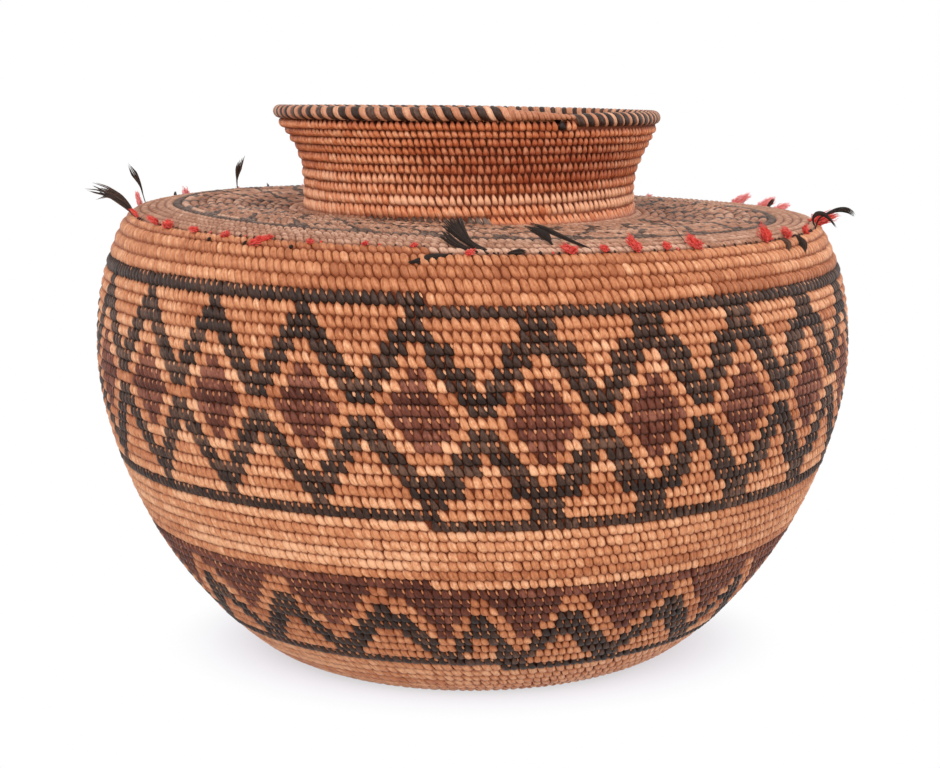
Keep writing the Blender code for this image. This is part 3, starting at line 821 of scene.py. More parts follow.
# For each row of the net: stitches to a repeat, and from where to where they are dark beside a knot
NET_ROWS = [(8, 0.0, 1.6), (8, 0.0, 1.1), (8, 1.0, 2.1), (8, 2.0, 3.1), (7, 3.0, 9.0), (7, 2.6, 9.0),
            (7, 2.0, 3.0), (7, 1.0, 2.0), (6, 0.0, 1.1), (6, 0.0, 1.1), (6, 1.0, 2.0), (6, 2.0, 9.0),
            (5, 2.0, 9.0), (5, 0.0, 0.0), (5, 0.0, 0.0)]


def diamond_row(row, rule):
    """One counted turn. Rows drift a little as they climb, and the lowest starts a stitch early."""
    places, angles = diamond_marks
    early = int(row == LOWER_BORDER)
    start = math.ceil(np.interp(ROW_START, angles, places) * DIAMOND_STITCHES) - early
    number = start + np.arange(DIAMOND_COUNT * DIAMOND_STITCHES + early)
    place = (number + 0.5) / DIAMOND_STITCHES
    aside = ((place + 0.5) % 1.0 - 0.5) * DIAMOND_STITCHES
    drifted = place - 0.1 * (row - DRIFT_MIDDLE) / DIAMOND_STITCHES
    half = 0.5 / DIAMOND_STITCHES
    angle, before, after = (diamond_angle(drifted + more) for more in (0.0, -half, half))
    return row + (angle - ROW_START) / 360.0, (after - before) / 360.0, rule(UPPER_BORDER - row, aside)


def diamond_band(first, last, rule):
    return joined(diamond_row(row, rule) for row in range(first, last))


def zigzag_band(first, last):
    """Even stitches, coloured by their place between the peaks, which stand at uneven distances."""
    places, angles = peak_marks
    rows = []
    for row in range(first, last):
        turn, share = even_rows(row, row + 1, 244 if row >= 14 else 232)
        angle = (ROW_START + 360.0 * (turn - row) - angles[0]) % 360.0
        place = np.interp(angle, angles - angles[0], places)
        rows.append((turn, share, zigzag_rule(last - row, ((place + 0.5) % 1.0 - 0.5) * PEAK_STITCHES)))
    return joined(rows)


def net_band():
    """The shoulder's pattern from the ring to the neck, with a dark line under most of the neck, which is
    partly dark stitches and partly painted shade at the neck's foot.
    """
    rows = []
    for row, (columns, inner, outer) in enumerate(NET_ROWS):
        first = NET_START + row
        last = NECK_START if row == len(NET_ROWS) - 1 else first + 1
        turn, share = even_rows(first, last, NET_REPEATS * columns)
        place = (turn - NET_START) * NET_REPEATS
        aside = np.abs(((place + 0.5 + NET_SHIFT) % 1.0 - 0.5) * columns)
        # From NECK_LINE_START on the stitches are dark: partly real dark stitches, partly painted shade at
        # the neck's foot
        dark = (aside >= inner) & (aside < outer) | (turn > NECK_LINE_START)
        rows.append((turn, share, np.where(dark, BRACKEN, SEDGE)))
    return joined(rows)


print("one diamond row:", len(diamond_row(30, diamond_rule)[0]), "stitches")

# %% [markdown]
# ## Sewing the outside
#
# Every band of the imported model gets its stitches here. Where a band has several colours, each colour
# is a piece of its own. Beside many stitches the tip of the strand below shows as a light fleck, and
# the weaver's dark bands are full of them.

# %% Bands on the outside
BASE_LINE = (8.034, 9.034)
NECK_END = 79.0897
NECK_DARK_END = NECK_END + 0.0072
NECK_LAST_END = NECK_END + 0.0172
# Each band: its node, its tan finish, how much paler its tan is, and what is sewn with which form
BANDS = [
    # The heel's paler tan is partly its own colour and partly painted light, thrown up by the white floor
    ("heel_courses", "sedge", 0.28,
     [("flat", plain_band((0, 2, 132), (2, 5, 154), (5, BASE_LINE[0], 176)))]),
    ("base_line_course", "sedge", 0.0, [("grain", plain_band((*BASE_LINE, 196), kind=BRACKEN))]),
    ("zigzag_courses", "sedge", 0.0, [("grain", zigzag_band(9, PLAIN_BELLY))]),
    ("plain_belly_courses", "sedge", 0.10, [("plain", plain_band((PLAIN_BELLY, LOWER_BORDER, 264)))]),
    ("lower_border_course", "sedge", 0.0,
     [("grain", diamond_band(LOWER_BORDER, LOWER_BORDER + 1, border_rule))]),
    ("diamond_courses", "sedge", 0.05,
     [("grain", diamond_band(LOWER_BORDER + 1, UPPER_BORDER, diamond_rule))]),
    ("upper_border_course", "sedge", 0.0, [("grain", diamond_band(UPPER_BORDER, PLUMP_ROW, border_rule))]),
    ("plain_shoulder_courses", "sedge", -0.13, [("plain", plain_band((PLUMP_ROW, WOOL_ROW, 286)))]),
    ("tuft_course", "top_sedge", 0.0, [("plain", plain_band((WOOL_ROW, 49, 276)))]),
    ("shoulder_plain_courses", "top_sedge", 0.0, [("plain", plain_band((49, 51, 264), (51, 53, 250)))]),
    ("shoulder_ring_course", "top_sedge", 0.0, [("grain", plain_band((53, NET_START, 238), kind=BRACKEN))]),
    ("shoulder_pattern_courses", "top_sedge", 0.0, [("grain", net_band())]),
    ("neck_courses", "neck_sedge", 0.0,
     [("grain", plain_band((NECK_START, 71, 156))),
      ("spire", plain_band((71, 73, 160), (73, 75, 166), (75, 76.4, 174))),
      ("bead", plain_band((76.4, NECK_END, 184))),
      ("bead", plain_band((NECK_END, NECK_DARK_END, 140), kind=BRACKEN)),
      ("bead", plain_band((NECK_DARK_END, NECK_LAST_END, 200)))]),
]
print("outside stitches:", sum(len(turn) for *_, sewn in BANDS for _, (turn, *_) in sewn))

# %% Sewing the bands
FLECK_CHANCE = {SEDGE: 0.0, REDBUD: 0.88, BRACKEN: 0.76}
FLECK_TONES = (0.05, 0.8)
PATCH_ANGLE, PATCH_WIDTH, PATCH_WALK, PATCH_HEIGHT = 22.0, 38.0, 232.0, 9.0
BEHIND_ANGLE, BEHIND_WIDTH, BEHIND_WALK, BEHIND_HEIGHT = 160.0, 30.0, 228.0, 8.0
LOWEST_STAIN = 214.0
NECK_TURNS = [68.9, 69.1, 71.5, 73.5]
NECK_PALER = [0.0, 0.34, 0.22, 0.0]


def stains_at(turn):
    """Where the neck is darkened: a soaked patch right of the front, and a weaker one behind."""
    azimuth = (np.degrees(azimuth_of(turn)) + 180.0) % 360.0 - 180.0
    walk = coil_edge(turn) / MM
    patch = ((azimuth - PATCH_ANGLE) / PATCH_WIDTH) ** 4 + ((walk - PATCH_WALK) / PATCH_HEIGHT) ** 4
    behind = ((azimuth - BEHIND_ANGLE) / BEHIND_WIDTH) ** 2 + ((walk - BEHIND_WALK) / BEHIND_HEIGHT) ** 2
    return np.where(walk > LOWEST_STAIN, np.exp(-patch) + 0.5 * np.exp(-behind), 0.0)


def height_tone(turn):
    """The lowest turns of the neck are paler, and so are the coils that stand out."""
    return np.interp(turn, NECK_TURNS, NECK_PALER) + 0.8 * neck_ripple(coil_edge(turn), turn)


def kind_finish(kind, tan_finish):
    dark = "faded_bracken" if tan_finish == "top_sedge" else "bracken"
    return {SEDGE: tan_finish, REDBUD: "redbud", BRACKEN: dark}[kind]


for number, (node, tan_finish, paler, sewn) in enumerate(BANDS):
    chance = seed(100 + number)
    piles = {}
    tip = "dash" if node == "zigzag_courses" else "fleck"
    start = BASE_LINE[1] if node == "zigzag_courses" else 0.0
    for form, (turn, share, kind) in sewn:
        tone = strand_tones(len(turn), chance) + paler + height_tone(turn)
        stain = stains_at(turn) * chance.uniform(0.75, 1.2, len(turn))
        runs = 0.45 + 1.1 * strand_tones(len(turn), chance, 7)
        for value in map(int, np.unique(kind)):
            chosen = (kind == value) & (turn >= start)
            pile = piles.setdefault(kind_finish(value, tan_finish), Pile())
            sew(pile, turn[chosen], share[chosen], form, chance, tone[chosen], stain[chosen])
            flecked = chosen & (chance.uniform(0, 1, len(turn)) < FLECK_CHANCE[value] * runs)
            if form == "grain" and flecked.any():
                points = stitch_points(turn[flecked], share[flecked], tip, chance)
                tones = chance.uniform(*FLECK_TONES, len(points))
                pile = piles.setdefault(tan_finish, Pile())
                pile.add(points, tones, 0.0, STITCH_FORMS[tip]["up"], ACROSS * 0.5)
    for finish, pile in piles.items():
        pile.make(f"{node}_{finish}", finish, [node])

# %% [markdown]
# ## The underside and the inside
#
# A hidden side still has to be sewn. The base starts in the middle and is only flat enough to stand
# on. The inside shows the same stitches in the same colours, a little flatter, because the weaver
# works from the outside and pulls the strand tight against the coil.

# %% Base
BASE_PITCH = 2.45 * MM
BASE_TURNS = 16.0
START_COIL_END = -14.0
count = round(math.pi * BASE_COIL * BASE_TURNS ** 2 / BASE_PITCH)
turn = np.sqrt((np.arange(count) + 0.5) * BASE_PITCH / (math.pi * BASE_COIL)) - BASE_TURNS
share = BASE_PITCH / (FULL_TURN * BASE_COIL * (turn + BASE_TURNS)).clip(BASE_PITCH * 1.5)
chance = seed(50)
tone = strand_tones(count, chance) + 0.12
for name, chosen in (("start_coil", turn < START_COIL_END), ("base_disc", turn >= START_COIL_END)):
    pile = Pile()
    for inside in (False, True):
        sew(pile, turn[chosen], share[chosen], "ground", chance, tone[chosen], inside=inside)
    pile.make(f"{name}_stitches", "sedge", [name])

# %% Inside
piles = {}
for number, (*_, sewn) in enumerate(BANDS):
    chance = seed(200 + number)
    for _, (turn, share, kind) in sewn:
        tone = strand_tones(len(turn), chance) - 0.05
        for value in map(int, np.unique(kind)):
            chosen = kind == value
            pile = piles.setdefault(kind_finish(value, "sedge"), Pile())
            sew(pile, turn[chosen], share[chosen], "ground", chance, tone[chosen], inside=True)
for finish, pile in piles.items():
    pile.make(f"inside_{finish}", finish)

# %% [markdown]
# ## The bundle inside the coils
#
# Between the stitches the grass of the bundle shows as dark lines. Its dark red-brown is partly the
# grass's own colour and partly painted shade, the shade that fills the gaps. One plain closed shell
# under all the stitches is enough for that. It is a spun surface, a little thinner than the wall on
# both sides.
# Loose fibre, such as grass, wool and quills, needs one noise only, which may be stretched one way.

# %% Foundation
FIBRE_BUMP = 0.6
FIBRE_SPECULAR = 0.15
# Dark grass colours: partly the grass's own red-brown, partly painted shade of the gaps between stitches
SHADED_GRASS = [(0.07, 0.015, 0.007), (0.14, 0.034, 0.014), (0.22, 0.066, 0.030)]
SHELL_DEPTHS = (0.72 * MM, WALL_THICKNESS - 0.62 * MM)
SHELL_STEPS = 168


def fibre_material(name, shades, scale, gloss, bump_depth, stretch=(1.0, 1.0, 1.0)):
    material, tree = new_material(name)
    place = add_node(tree, "Mapping", {0: (add_node(tree, "TexCoord"), "Object"), "Scale": stretch})
    fibre = noise(tree, (place, 0), scale, 5.0)
    paler = maths(tree, "MULTIPLY_ADD", attribute(tree, "tone"), 0.8, -0.2)
    mixed = maths(tree, "ADD", maths(tree, "MULTIPLY", fibre, 0.6), paler)
    bump = (FIBRE_BUMP, bump_depth)
    surface(tree, ramp(tree, mixed, shades), FIBRE_SPECULAR, fibre, gloss, fibre, bump)
    return material


grass = fibre_material("shaded_grass_bundle", SHADED_GRASS, 900.0, (0.7, 0.9), 0.2 * MM, (1.0, 1.0, 3.0))
FINISH["grass"] = (grass, "sedge")
stations = np.concatenate([np.linspace(-51.9, 0.0, 16), np.linspace(2.5, 244.5, 97)])[:, None] * MM
around = np.linspace(0.0, FULL_TURN, SHELL_STEPS + 1)[:-1]
outside, inside = (on_wall(stations, around, -depth) for depth in SHELL_DEPTHS)
pile = Pile()
pile.add(np.concatenate([outside, inside[::-1]])[None], 0.4, closed=True)
pile.make("shaded_grass_bundle", "grass")

# %% [markdown]
# ## The rim
#
# The last turn is wrapped instead of sewn: strands go right round the coil, black and tan in turn, so
# the mouth has slanted ticks. The wraps cross the top nearly square and slide to the right as they go
# down. After almost a full turn the coil thins to nothing on top of the row below, in plain tan.

# %% Rim
RIM_START = 79.105
RIM_TICKS_END = 80.048
RIM_END = 80.104
RIM_RADIUS = 2.0 * MM
RIM_DEPTH = 2.15 * MM
RIM_LENGTH = FULL_TURN * 59.0 * MM
WRAP_PAIR = 4.42 * MM
WRAP_FALL = 0.42 * MM
DARK_SHARE, DARK_SHARE_BEHIND = 0.57, 0.38
TAIL_STEP = 1.78 * MM / RIM_LENGTH
WRAP_TURN = np.radians(np.linspace(-112.0, 218.0, 15))
WRAP_ALONG = np.linspace(0.3, 0.8, len(WRAP_TURN))
SLIDE_SHARE = WRAP_PAIR / (FULL_TURN * 58.5 * MM)
WRAP_SLIDE = SLIDE_SHARE * np.interp(
    np.degrees(WRAP_TURN), [-112, -40, 20, 90, 218], [0.46, 0.36, 0.15, -0.03, -0.35])


def coil_radius(turn):
    return np.interp(turn, [RIM_START, RIM_START + 0.02, RIM_TICKS_END, RIM_TICKS_END + 0.006, RIM_END],
                     [1.85 * MM, RIM_RADIUS, RIM_RADIUS, 1.55 * MM, 0.75 * MM])


def round_the_coil(turn, size, angle):
    """Points on the rim's coil: size is the distance from its middle, angle 0 faces out, 90 up."""
    raised = np.interp(turn, [RIM_START, RIM_START + 0.3], [0.35 * MM, 0.0])
    distance = coil_edge(turn) + coil_radius(turn) + raised + size * np.sin(angle)
    return on_wall(distance, azimuth_of(turn), size * np.cos(angle) - RIM_DEPTH)


def wraps(start, end, chance, slide):
    """Bands of strand round the coil between two turns; start and end hold one number for each."""
    middle = 0.5 * (start + end)[:, None, None]
    half = 0.5 * (end - start)[:, None, None]
    vary = chance.normal(0.0, 1.0, (2, len(start), 1, 1)).clip(-2, 2)
    turn = middle + ACROSS * half * (1.0 + 0.04 * vary[0]) + slide[:, None]
    size = coil_radius(middle) - SIDE_FALL * WRAP_FALL * (1.0 + 0.2 * vary[1])
    return round_the_coil(turn, size, WRAP_TURN[:, None])


print("the rim's coil is", 2.0 * RIM_RADIUS / MM, "mm thick")

# %% Wraps of the rim
chance = seed(70)
pairs = int((RIM_TICKS_END - RIM_START) * RIM_LENGTH / WRAP_PAIR)
pace = np.cumsum(np.interp(np.arange(pairs), [0, 0.75 * pairs, pairs], [0.86, 1.10, 1.02]))
edges = RIM_START + np.append(0.0, pace[:-1]) * (RIM_TICKS_END - RIM_START) / pace[-1]
edges = edges + chance.normal(0.0, 0.00035, pairs)
facing_away = np.abs(azimuth_of(edges) - 79.5 * FULL_TURN) < 1.8
dark_share = np.where(facing_away, DARK_SHARE_BEHIND, DARK_SHARE)
split = edges + dark_share * WRAP_PAIR / RIM_LENGTH * chance.uniform(0.93, 1.07, pairs)
following = np.append(edges[1:], RIM_TICKS_END)
tail = np.arange(RIM_TICKS_END, RIM_END - 0.5 * TAIL_STEP, TAIL_STEP)
for name, finish, level, starts, ends, slide in (
        ("rim_coil_dark_wraps", "bracken", 0.5, edges, split, WRAP_SLIDE),
        ("rim_coil_tan_wraps", "rim_sedge", 0.5, split, following, WRAP_SLIDE),
        ("rim_coil_tail", "rim_sedge", 0.26, tail, tail + TAIL_STEP, WRAP_SLIDE * 0.45)):
    pile = Pile()
    tones = chance.normal(level, 0.14, len(starts)).clip(0.1, 0.95)
    pile.add(wraps(starts, ends, chance, slide), tones, 0.0, WRAP_ALONG, ACROSS)
    pile.make(name, finish, ["rim_coil"])

# %% Coil under the wraps
CORE_START = RIM_START - 0.004
turns = np.linspace(CORE_START, RIM_END, 260)[:, None]
thin = np.interp(turns, [CORE_START, RIM_START, RIM_TICKS_END, RIM_END], [0.3, 1.45, 1.55, 0.2]) * MM
pile = Pile()
pile.add(round_the_coil(turns, thin, np.radians(np.arange(0.0, 360.0, 45.0)))[None], 0.4, closed=True)
# Its dark finish is the bundle's, partly painted shade between the wraps
pile.make("rim_coil_core", "grass", ["rim_coil"])

# %% [markdown]
# ## Tubes for fibres and quills
#
# Wool and feathers are bundles of thin round things. A tube needs a path, a thickness at each point
# and two directions square to the path. Four sides are enough at a tenth of a millimetre.

# %% Tubes
def unit(directions):
    return directions / (np.linalg.norm(directions, axis=2, keepdims=True) + 1e-12)


def tubes(paths, wide, thin, side):
    """Tubes along many paths of shape (count, points, 3). wide and thin are half sizes."""
    heading = unit(np.gradient(paths, axis=1))
    first = unit(side - heading * (side * heading).sum(axis=2, keepdims=True))
    second = np.cross(heading, first)
    turn = np.radians([0.0, 90.0, 180.0, 270.0])[:, None]
    ring = first[:, :, None] * np.cos(turn) * wide[:, :, None, None]
    ring = ring + second[:, :, None] * np.sin(turn) * thin[:, :, None, None]
    return paths[:, :, None] + ring


def seam_frame(azimuth):
    """Root on the wool seam and directions along the seam, outwards and up, at an angle in degrees."""
    turn = math.radians(azimuth)
    seam = coil_edge(WOOL_ROW + ((azimuth - ROW_START) % 360.0) / 360.0)
    root = on_wall(seam, np.array(turn), np.array(-0.3 * MM))
    side = np.array([math.cos(turn), math.sin(turn), 0.0])
    outwards = np.array([math.sin(turn), -math.cos(turn), 0.0])
    return root, side, outwards, np.array([0.0, 0.0, 1.0])


def place_from(here, reaches):
    """Points given in millimetres along the seam, outwards and up from the root."""
    root, *directions = here
    return root + np.asarray(reaches) * MM @ np.array(directions)


print("tubes ready, seam at", round(float(wall_at(SEAM)[1]) / MM, 1), "mm")

# %% [markdown]
# ## Red wool
#
# Short ends of red yarn are caught in the seam at the shoulder's edge. Each is a tuft of crimped
# fibres that spread towards the tip, round a denser middle. A list gives each tuft's angle, where its
# middle starts and ends, and how fat it is. The unseen back gets its share.

# %% Places of the wool
WOOL_TUFTS = [
    (-115.0, (0.0, 0.0, 0.5), (0.8, 0.8, 2.6), 0.7), (-93.0, (0.2, 0.2, 1.0), (0.6, 0.9, 4.2), 0.5),
    (-70.1, (0.3, 0.9, 1.6), (-0.3, 2.2, 2.8), 0.35), (-59.2, (0.8, 1.1, 1.1), (-0.2, 2.7, 2.3), 0.7),
    (-54.3, (-0.5, 2.0, 1.2), (0.9, 0.9, 1.6), 0.9), (-46.7, (0.6, 1.1, 1.0), (-0.9, 2.2, 0.8), 0.55),
    (-39.3, (-0.9, 1.8, 0.2), (0.5, 1.2, 1.0), 0.7), (-31.9, (1.5, 0.8, 0.6), (-3.4, 2.6, -0.8), 0.8),
    (-23.9, (-0.9, 1.5, 0.2), (0.4, 1.2, 0.4), 0.6), (-15.5, (-0.6, 1.2, 0.5), (0.4, 1.2, 0.7), 0.5),
    (-8.3, (-0.7, 1.2, 0.5), (0.4, 1.2, 0.7), 0.5), (-1.0, (0.3, 1.1, 0.4), (2.0, 1.1, 0.7), 0.55),
    (13.7, (1.3, 1.3, 1.2), (-1.9, 0.8, 1.7), 0.95), (19.1, (0.2, 1.2, 1.2), (-1.5, 0.7, 1.7), 0.6),
    (24.0, (0.3, 1.2, 1.2), (-2.6, 0.2, 3.6), 1.0), (29.2, (-0.1, 1.2, 1.1), (-1.5, 0.5, 1.9), 0.65),
    (34.3, (0.7, 1.4, 1.0), (-2.6, 0.0, 3.2), 1.0), (50.5, (-0.2, 1.3, 1.4), (-1.9, -0.2, 4.0), 1.2),
    (57.0, (-0.2, 1.3, 1.2), (-1.6, 0.0, 2.6), 0.95), (66.0, (-0.4, 0.5, 0.8), (-1.2, 0.2, 2.0), 0.8),
    (81.5, (-0.9, -1.2, 1.4), (0.0, 4.8, 2.7), 1.45), (108.5, (-0.2, -0.4, 0.7), (-1.5, 3.0, 1.9), 0.8),
    (114.0, (0.4, -1.0, 0.8), (-1.9, 3.0, 3.3), 0.85), (122.0, (0.6, -1.0, 0.8), (-2.4, 2.9, 3.5), 0.85),
    (143.6, (0.3, -0.3, 0.4), (-0.4, 0.2, 1.6), 0.6),
]
WOOL_NODES = [f"wool_tuft_{number:02d}" for number in range(1, len(WOOL_TUFTS) + 1)]
UNSEEN_TUFTS = [(azimuth, (0.0, 0.6, 0.8), far, fat) for azimuth, far, fat in (
    (153.0, (-1.6, 1.6, 2.0), 0.8), (164.0, (1.6, 1.6, 1.4), 0.7), (176.0, (-1.2, 1.6, 2.4), 0.9),
    (188.0, (1.4, 1.6, 1.2), 0.7), (203.0, (-1.8, 1.6, 2.2), 0.8), (214.0, (1.2, 1.4, 1.6), 0.7),
    (229.0, (1.8, 1.6, 1.2), 0.7))]
print(len(WOOL_TUFTS), "tufts in the packed model,", len(UNSEEN_TUFTS), "more behind")

# %% Wool tufts
RED_YARN = [(0.42, 0.014, 0.011), (0.74, 0.062, 0.045), (0.82, 0.15, 0.12), (0.88, 0.36, 0.36)]
FIBRES = 150
FIBRE_LENGTH = 4.0 * MM
FIBRE_SHARES = np.linspace(0.0, 1.0, 8)
FIBRE_GIRTH = np.interp(FIBRE_SHARES, [0, 0.8, 1], [0.11, 0.10, 0.04]) * MM
CRIMPS, CRIMP_SIZE = 13.0, 0.18 * MM
KNOT_GIRTH = np.array([0.35, 0.8, 1.0, 0.95, 0.85, 0.6, 0.2]) * 0.62 * MM

wool = fibre_material("red_wool", RED_YARN, 700.0, (0.8, 0.95), 0.1 * MM)
wool.node_tree.nodes["Principled BSDF"].inputs["Sheen Weight"].default_value = 0.1
FINISH["wool"] = (wool, "wool")
chance = seed(80)
pile = Pile()
for azimuth, near, far, fat in WOOL_TUFTS + UNSEEN_TUFTS:
    here = seam_frame(azimuth)
    root, side = here[:2]
    near, far = place_from(here, [near, far])
    count = int(FIBRES * (0.5 + np.linalg.norm(far - near) / FIBRE_LENGTH))
    behind = abs(azimuth) > 85.0
    spread = chance.normal(0.0, 0.5, (count, 3)).clip(-1.3, 1.3) * fat * MM * (1.2 if behind else 1.0)
    ends = near + (far - near) * chance.uniform(-0.1, 1.15, (count, 1)) + spread
    bend = near + 0.35 * (ends - near) + 0.9 * spread
    paths = np.stack([bend_between(root, bend[i], ends[i], FIBRE_SHARES) for i in range(count)])
    wave = chance.uniform(0.0, 6.28, (count, 1, 3)) + FIBRE_SHARES[:, None] * CRIMPS
    paths = paths + np.sin(wave) * CRIMP_SIZE * FIBRE_SHARES[:, None] ** 0.5
    girth = np.broadcast_to(FIBRE_GIRTH, paths.shape[:2])
    tones = chance.uniform(0.75, 1.2, count) if behind else chance.uniform(0.0, 0.75, count)
    pile.add(tubes(paths, girth, girth, side), tones, closed=True)
    knot = near + (far - near) * np.linspace(-0.15, 1.0, 7)[:, None]
    swell = KNOT_GIRTH[None] * fat
    pile.add(tubes(knot[None], swell, swell, side), 0.9 if behind else 0.3, closed=True)
pile.make("wool_tufts", "wool", WOOL_NODES)

# %% [markdown]
# Between the tufts, stubs of yarn and quill are worn down to dark specks, one in about every third
# gap of the seam. Each is a small flattened bead pressed between two stitches. One stray root fibre
# lies loose on the shoulder.

# %% Stubs in the seam
STUB_TURN = 48.02
STUB_GAPS = 276
SPECK_ANGLES = np.array([-49.6, -42.5, -34.2, 2.2, 7.0, 11.9])
STUB_GIRTH = np.array([0.35, 0.9, 1.0, 0.75, 0.3])
STUB_SHARES = np.linspace(0.0, 1.0, 5)
PLUME_BLACK = [(0.007, 0.004, 0.003), (0.014, 0.008, 0.006), (0.034, 0.020, 0.015), (0.11, 0.055, 0.035)]
STRAY_PLACES = SEAM + np.array([40.0, 33.0, 26.0, 17.0, 8.5, 1.0]) * MM
STRAY_ANGLES = np.radians([59.0, 52.0, 45.0, 39.5, 35.5, 33.0])
STRAY_OFF = np.array([0.7, 1.1, 0.9, 1.2, 0.8, 0.5]) * MM
STRAY_GIRTH = np.full((1, 6), 0.11 * MM)

chance = seed(81)
gaps = STUB_TURN + (np.arange(STUB_GAPS) + 0.95) / STUB_GAPS
gaps = gaps[chance.uniform(0, 1, STUB_GAPS) < 0.35]
red = chance.uniform(0, 1, len(gaps)) < 0.14
specks = STUB_TURN + (SPECK_ANGLES - ROW_START) / 360.0
dark_pile, red_pile = Pile(), Pile()
for places, fat, pile in (
        (gaps[red], 0.8, red_pile), (gaps[~red], 0.8, dark_pile), (specks, 1.6, dark_pile)):
    turn = places + chance.normal(0.0, 0.0004, len(places))
    count = len(turn)
    height = chance.uniform(0.9, 1.5, count) * fat ** 0.5 * MM
    distance = (coil_edge(turn) - 0.2 * MM)[:, None] + (STUB_SHARES - 0.35) * height[:, None]
    off = (-0.10 + 0.25 * np.sin(STUB_SHARES * math.pi)) * MM * chance.uniform(0.6, 1.4, (count, 1))
    azimuth = azimuth_of(turn)
    paths = on_wall(distance, azimuth[:, None], off)
    girth = STUB_GIRTH * chance.uniform(0.28, 0.46, (count, 1)) * fat * MM
    around = np.stack([np.cos(azimuth), np.sin(azimuth), 0 * azimuth], axis=-1)[:, None]
    pile.add(tubes(paths, girth, girth * 0.7, around), chance.uniform(0, 0.6, count), closed=True)
red_pile.make("wool_stubs", "wool")

FINISH["quill"] = (fibre_material("quill_black", PLUME_BLACK, 1200.0, (0.4, 0.6), 0.05 * MM), "topknot")
stray = on_wall(STRAY_PLACES, STRAY_ANGLES, STRAY_OFF)
upwards = np.array([0.0, 0.0, 1.0])
dark_pile.add(tubes(stray[None], STRAY_GIRTH, STRAY_GIRTH, upwards), 0.4, closed=True)
dark_pile.make("quill_stubs", "quill")

# %% [markdown]
# ## Crest feathers
#
# The small black feathers are crest plumes: a quill that broadens into a soft comma-shaped vane. Flat
# planes would look like paper, so each plume is a sheaf of barbs, thin tubes that run side by side from
# the root and part a little at the tip. A list gives each feather's angle, its barbs and how far they
# fray, then the places that its curve passes, and the vane's widths there.

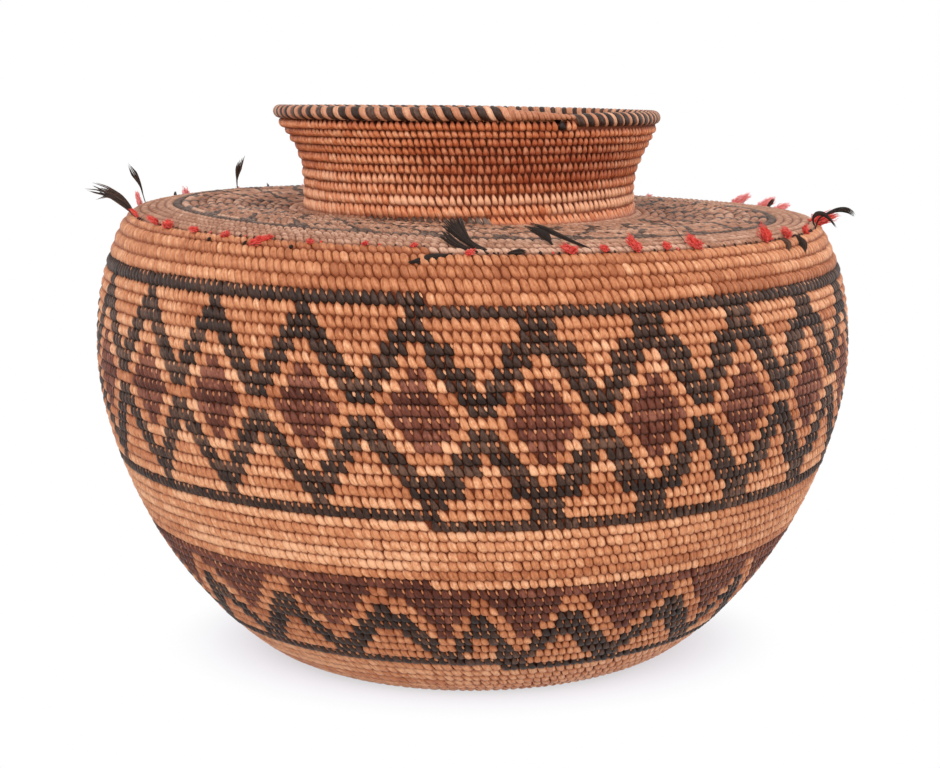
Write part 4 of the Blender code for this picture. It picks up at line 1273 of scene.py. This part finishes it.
# %% Places of the feathers
CREST_FEATHERS = [
    ("left_fan_feather_low", -73.6, 6, 0.3, [(-0.4, 1.2, 1.6), (-1.3, 4.5, 4.3), (-2.2, 7.6, 6.5),
     (-2.9, 9.9, 5.4), (-3.6, 12.1, 4.6)], [0.3, 0.6, 0.8, 0.8, 0.6, 0.3]),
    ("left_fan_feather_mid", -75.2, 8, 0.3, [(-0.2, 0.9, 2.0), (-1.1, 4.3, 4.6), (-2.2, 8.2, 6.7),
     (-2.9, 11.0, 7.3), (-3.8, 14.2, 7.9)], [0.3, 0.8, 1.1, 1.2, 1.1, 0.3]),
    ("left_fan_feather_high", -76.8, 13, 0.3, [(-0.2, 0.7, 2.0), (-0.9, 3.8, 5.0), (-1.8, 7.8, 7.3),
     (-2.9, 12.3, 9.3)], [0.3, 0.9, 2.2, 2.5, 1.5]),
    ("left_upright_feather", -97.0, 8, 0.3, [(0.1, 0.9, 3.0), (0.2, 1.5, 6.1), (0.4, 3.5, 9.9),
     (0.7, 5.6, 13.6)], [0.2, 0.2, 0.6, 1.7, 0.2]),
    ("back_left_feather", -129.7, 8, 0.35, [(0.4, 0.4, 2.1), (0.4, 0.5, 4.9), (0.1, 0.1, 8.3),
     (-1.0, -1.2, 13.0)], [0.2, 0.2, 0.5, 1.8, 1.3]),
    ("left_stub_feather", -110.6, 4, 0.2, [(0.1, 0.2, 1.5), (0.0, 0.0, 2.8)], [0.8, 0.7, 0.3]),
    ("back_stub_feather", -137.1, 4, 0.2, [(0.0, 0.0, 1.6), (0.3, 0.3, 3.3)], [0.8, 0.7, 0.3]),
    ("front_fan_feather_left", 1.3, 9, 0.1, [(-2.7, -0.5, 1.0), (-5.2, -0.8, 1.6), (-8.3, -1.7, 3.3),
     (-10.7, -2.8, 5.6)], [0.3, 0.6, 1.1, 1.8, 2.2]),
    ("front_fan_feather_mid", 2.2, 13, 0.05, [(-4.5, -1.1, 2.1), (-7.3, -2.2, 4.3), (-9.9, -3.5, 6.8),
     (-11.4, -4.1, 8.2)], [0.3, 0.8, 1.7, 2.4, 2.8]),
    ("front_fan_feather_right", 3.1, 15, 0.04, [(-6.4, -1.6, 2.7), (-8.1, -2.7, 5.1), (-9.4, -3.7, 7.1),
     (-10.1, -4.6, 8.9)], [0.3, 0.8, 1.7, 2.5, 2.8]),
    ("front_low_feather", -2.9, 11, 0.02, [(-1.6, 1.4, -0.4), (-3.6, 1.5, -0.8), (-5.7, 1.6, -1.3),
     (-8.5, 1.7, -1.9), (-11.3, 1.9, -2.1)], [0.3, 0.8, 1.9, 2.4, 1.7, 0.2]),
    ("front_stub_feather", 4.8, 6, 0.1, [(1.1, 0.9, 0.5), (3.2, 1.1, 0.8), (5.0, 1.2, 0.4)],
     [0.3, 0.8, 1.2, 0.6]),
    ("right_front_feather_low", 15.8, 9, 0.03, [(-2.8, -0.9, 0.2), (-6.5, -2.2, 0.7), (-7.8, -3.4, 2.5),
     (-8.5, -4.4, 4.2), (-11.3, -5.9, 5.7), (-14.2, -7.2, 6.8)], [0.2, 0.2, 0.8, 0.3, 1.9, 1.2, 0.2]),
    ("right_front_feather_high", 17.2, 7, 0.04, [(-0.5, -0.7, 1.2), (-3.2, -2.0, 2.2), (-7.3, -4.2, 4.2),
     (-11.2, -6.4, 6.2), (-14.8, -8.0, 7.3)], [0.2, 0.3, 0.6, 1.0, 1.1, 0.6]),
    ("right_drooping_feather_dark", 54.6, 10, 0.6, [(-0.1, 1.9, -0.1), (0.6, 2.9, -1.5), (0.5, 2.8, -3.4),
     (0.1, 2.3, -5.7)], [0.5, 1.2, 1.9, 1.5, 1.2]),
    ("right_drooping_feather_curl", 59.6, 9, 0.02, [(-0.8, 1.1, 0.9), (0.0, 2.3, -0.3), (0.4, 3.1, -1.8),
     (0.4, 3.0, -3.7), (0.0, 2.3, -4.9)], [0.2, 0.3, 1.2, 2.3, 1.9, 0.2]),
    ("right_tip_feather_thin", 76.2, 6, 0.08, [(-0.2, -1.0, 2.5), (0.0, 0.1, 4.3), (0.5, 2.1, 4.3),
     (1.0, 4.2, 2.6), (1.5, 6.2, -0.2)], [0.3, 0.5, 1.1, 1.1, 0.6, 0.4]),
    ("right_tip_feather_curl", 78.4, 9, 0.06, [(0.1, 0.6, 2.4), (0.6, 2.9, 3.8), (1.2, 6.0, 5.1),
     (1.8, 8.7, 5.1), (2.1, 10.4, 4.2), (2.3, 11.2, 3.0)], [0.2, 0.3, 0.6, 1.1, 1.4, 1.2, 0.8]),
    ("back_right_feather", 111.2, 5, 0.1, [(0.2, -0.5, 1.1), (-0.2, 0.4, 2.4), (-0.6, 1.4, 4.0)],
     [0.3, 0.7, 1.0, 0.5]),
]
print(len(CREST_FEATHERS), "feathers of", sum(barbs for _, _, barbs, *_ in CREST_FEATHERS), "barbs")

# %% Feathers
TOWARDS_VIEWER = np.array([0.0, -1.0, 0.15])
BARB_SHARES = np.linspace(0.0, 1.0, 21)
VANE_WIDTH = 0.57 * MM
THINNEST_BARB = 0.05 * MM


def soften(points):
    """Cut the corners of a line three times, which leaves a soft curve with the same ends."""
    for _ in range(3):
        cut = np.stack([between(points[:-1], points[1:], share) for share in (0.25, 0.75)], axis=1)
        points = np.concatenate([points[:1], cut.reshape(-1, 3), points[-1:]])
    return points


def plume(pile, azimuth, strands, fray, reaches, widths, chance):
    """A feather as a sheaf of barbs side by side, along a soft curve through the given places."""
    corners = place_from(seam_frame(azimuth), [(0.0, 0.0, 0.0)] + reaches)
    curve = soften(corners)
    ends = 1.0 - fray * chance.uniform(0.0, 1.0, strands)
    at = BARB_SHARES * ends[:, None]
    way = walked(curve) / walked(curve)[-1]
    paths = np.stack([np.interp(at, way, curve[:, axis]) for axis in range(3)], axis=-1)
    half = VANE_WIDTH * np.interp(at, walked(corners) / walked(corners)[-1], widths)
    vane = unit(np.cross(np.gradient(paths, axis=1), TOWARDS_VIEWER))
    place = (np.linspace(-1.0, 1.0, strands) + chance.normal(0.0, 0.5 / strands, strands))[:, None]
    paths = paths + vane * (place * half)[:, :, None] * 0.9
    paths = paths - TOWARDS_VIEWER * (0.35 * half * place ** 2)[:, :, None]
    taper = np.interp(BARB_SHARES, [0, 0.1, 0.85, 1], [0.8, 1, 1, 0.3])
    wide = (1.5 * half / strands).clip(THINNEST_BARB) * taper
    tones = chance.uniform(0.0, 0.7, strands) + 1.2 * fray
    pile.add(tubes(paths, wide, wide * 0.6, vane), tones, closed=True)


for number, (name, *measures) in enumerate(CREST_FEATHERS):
    pile = Pile()
    plume(pile, *measures, seed(300 + number))
    pile.make(name + "_vane", "quill", [name])
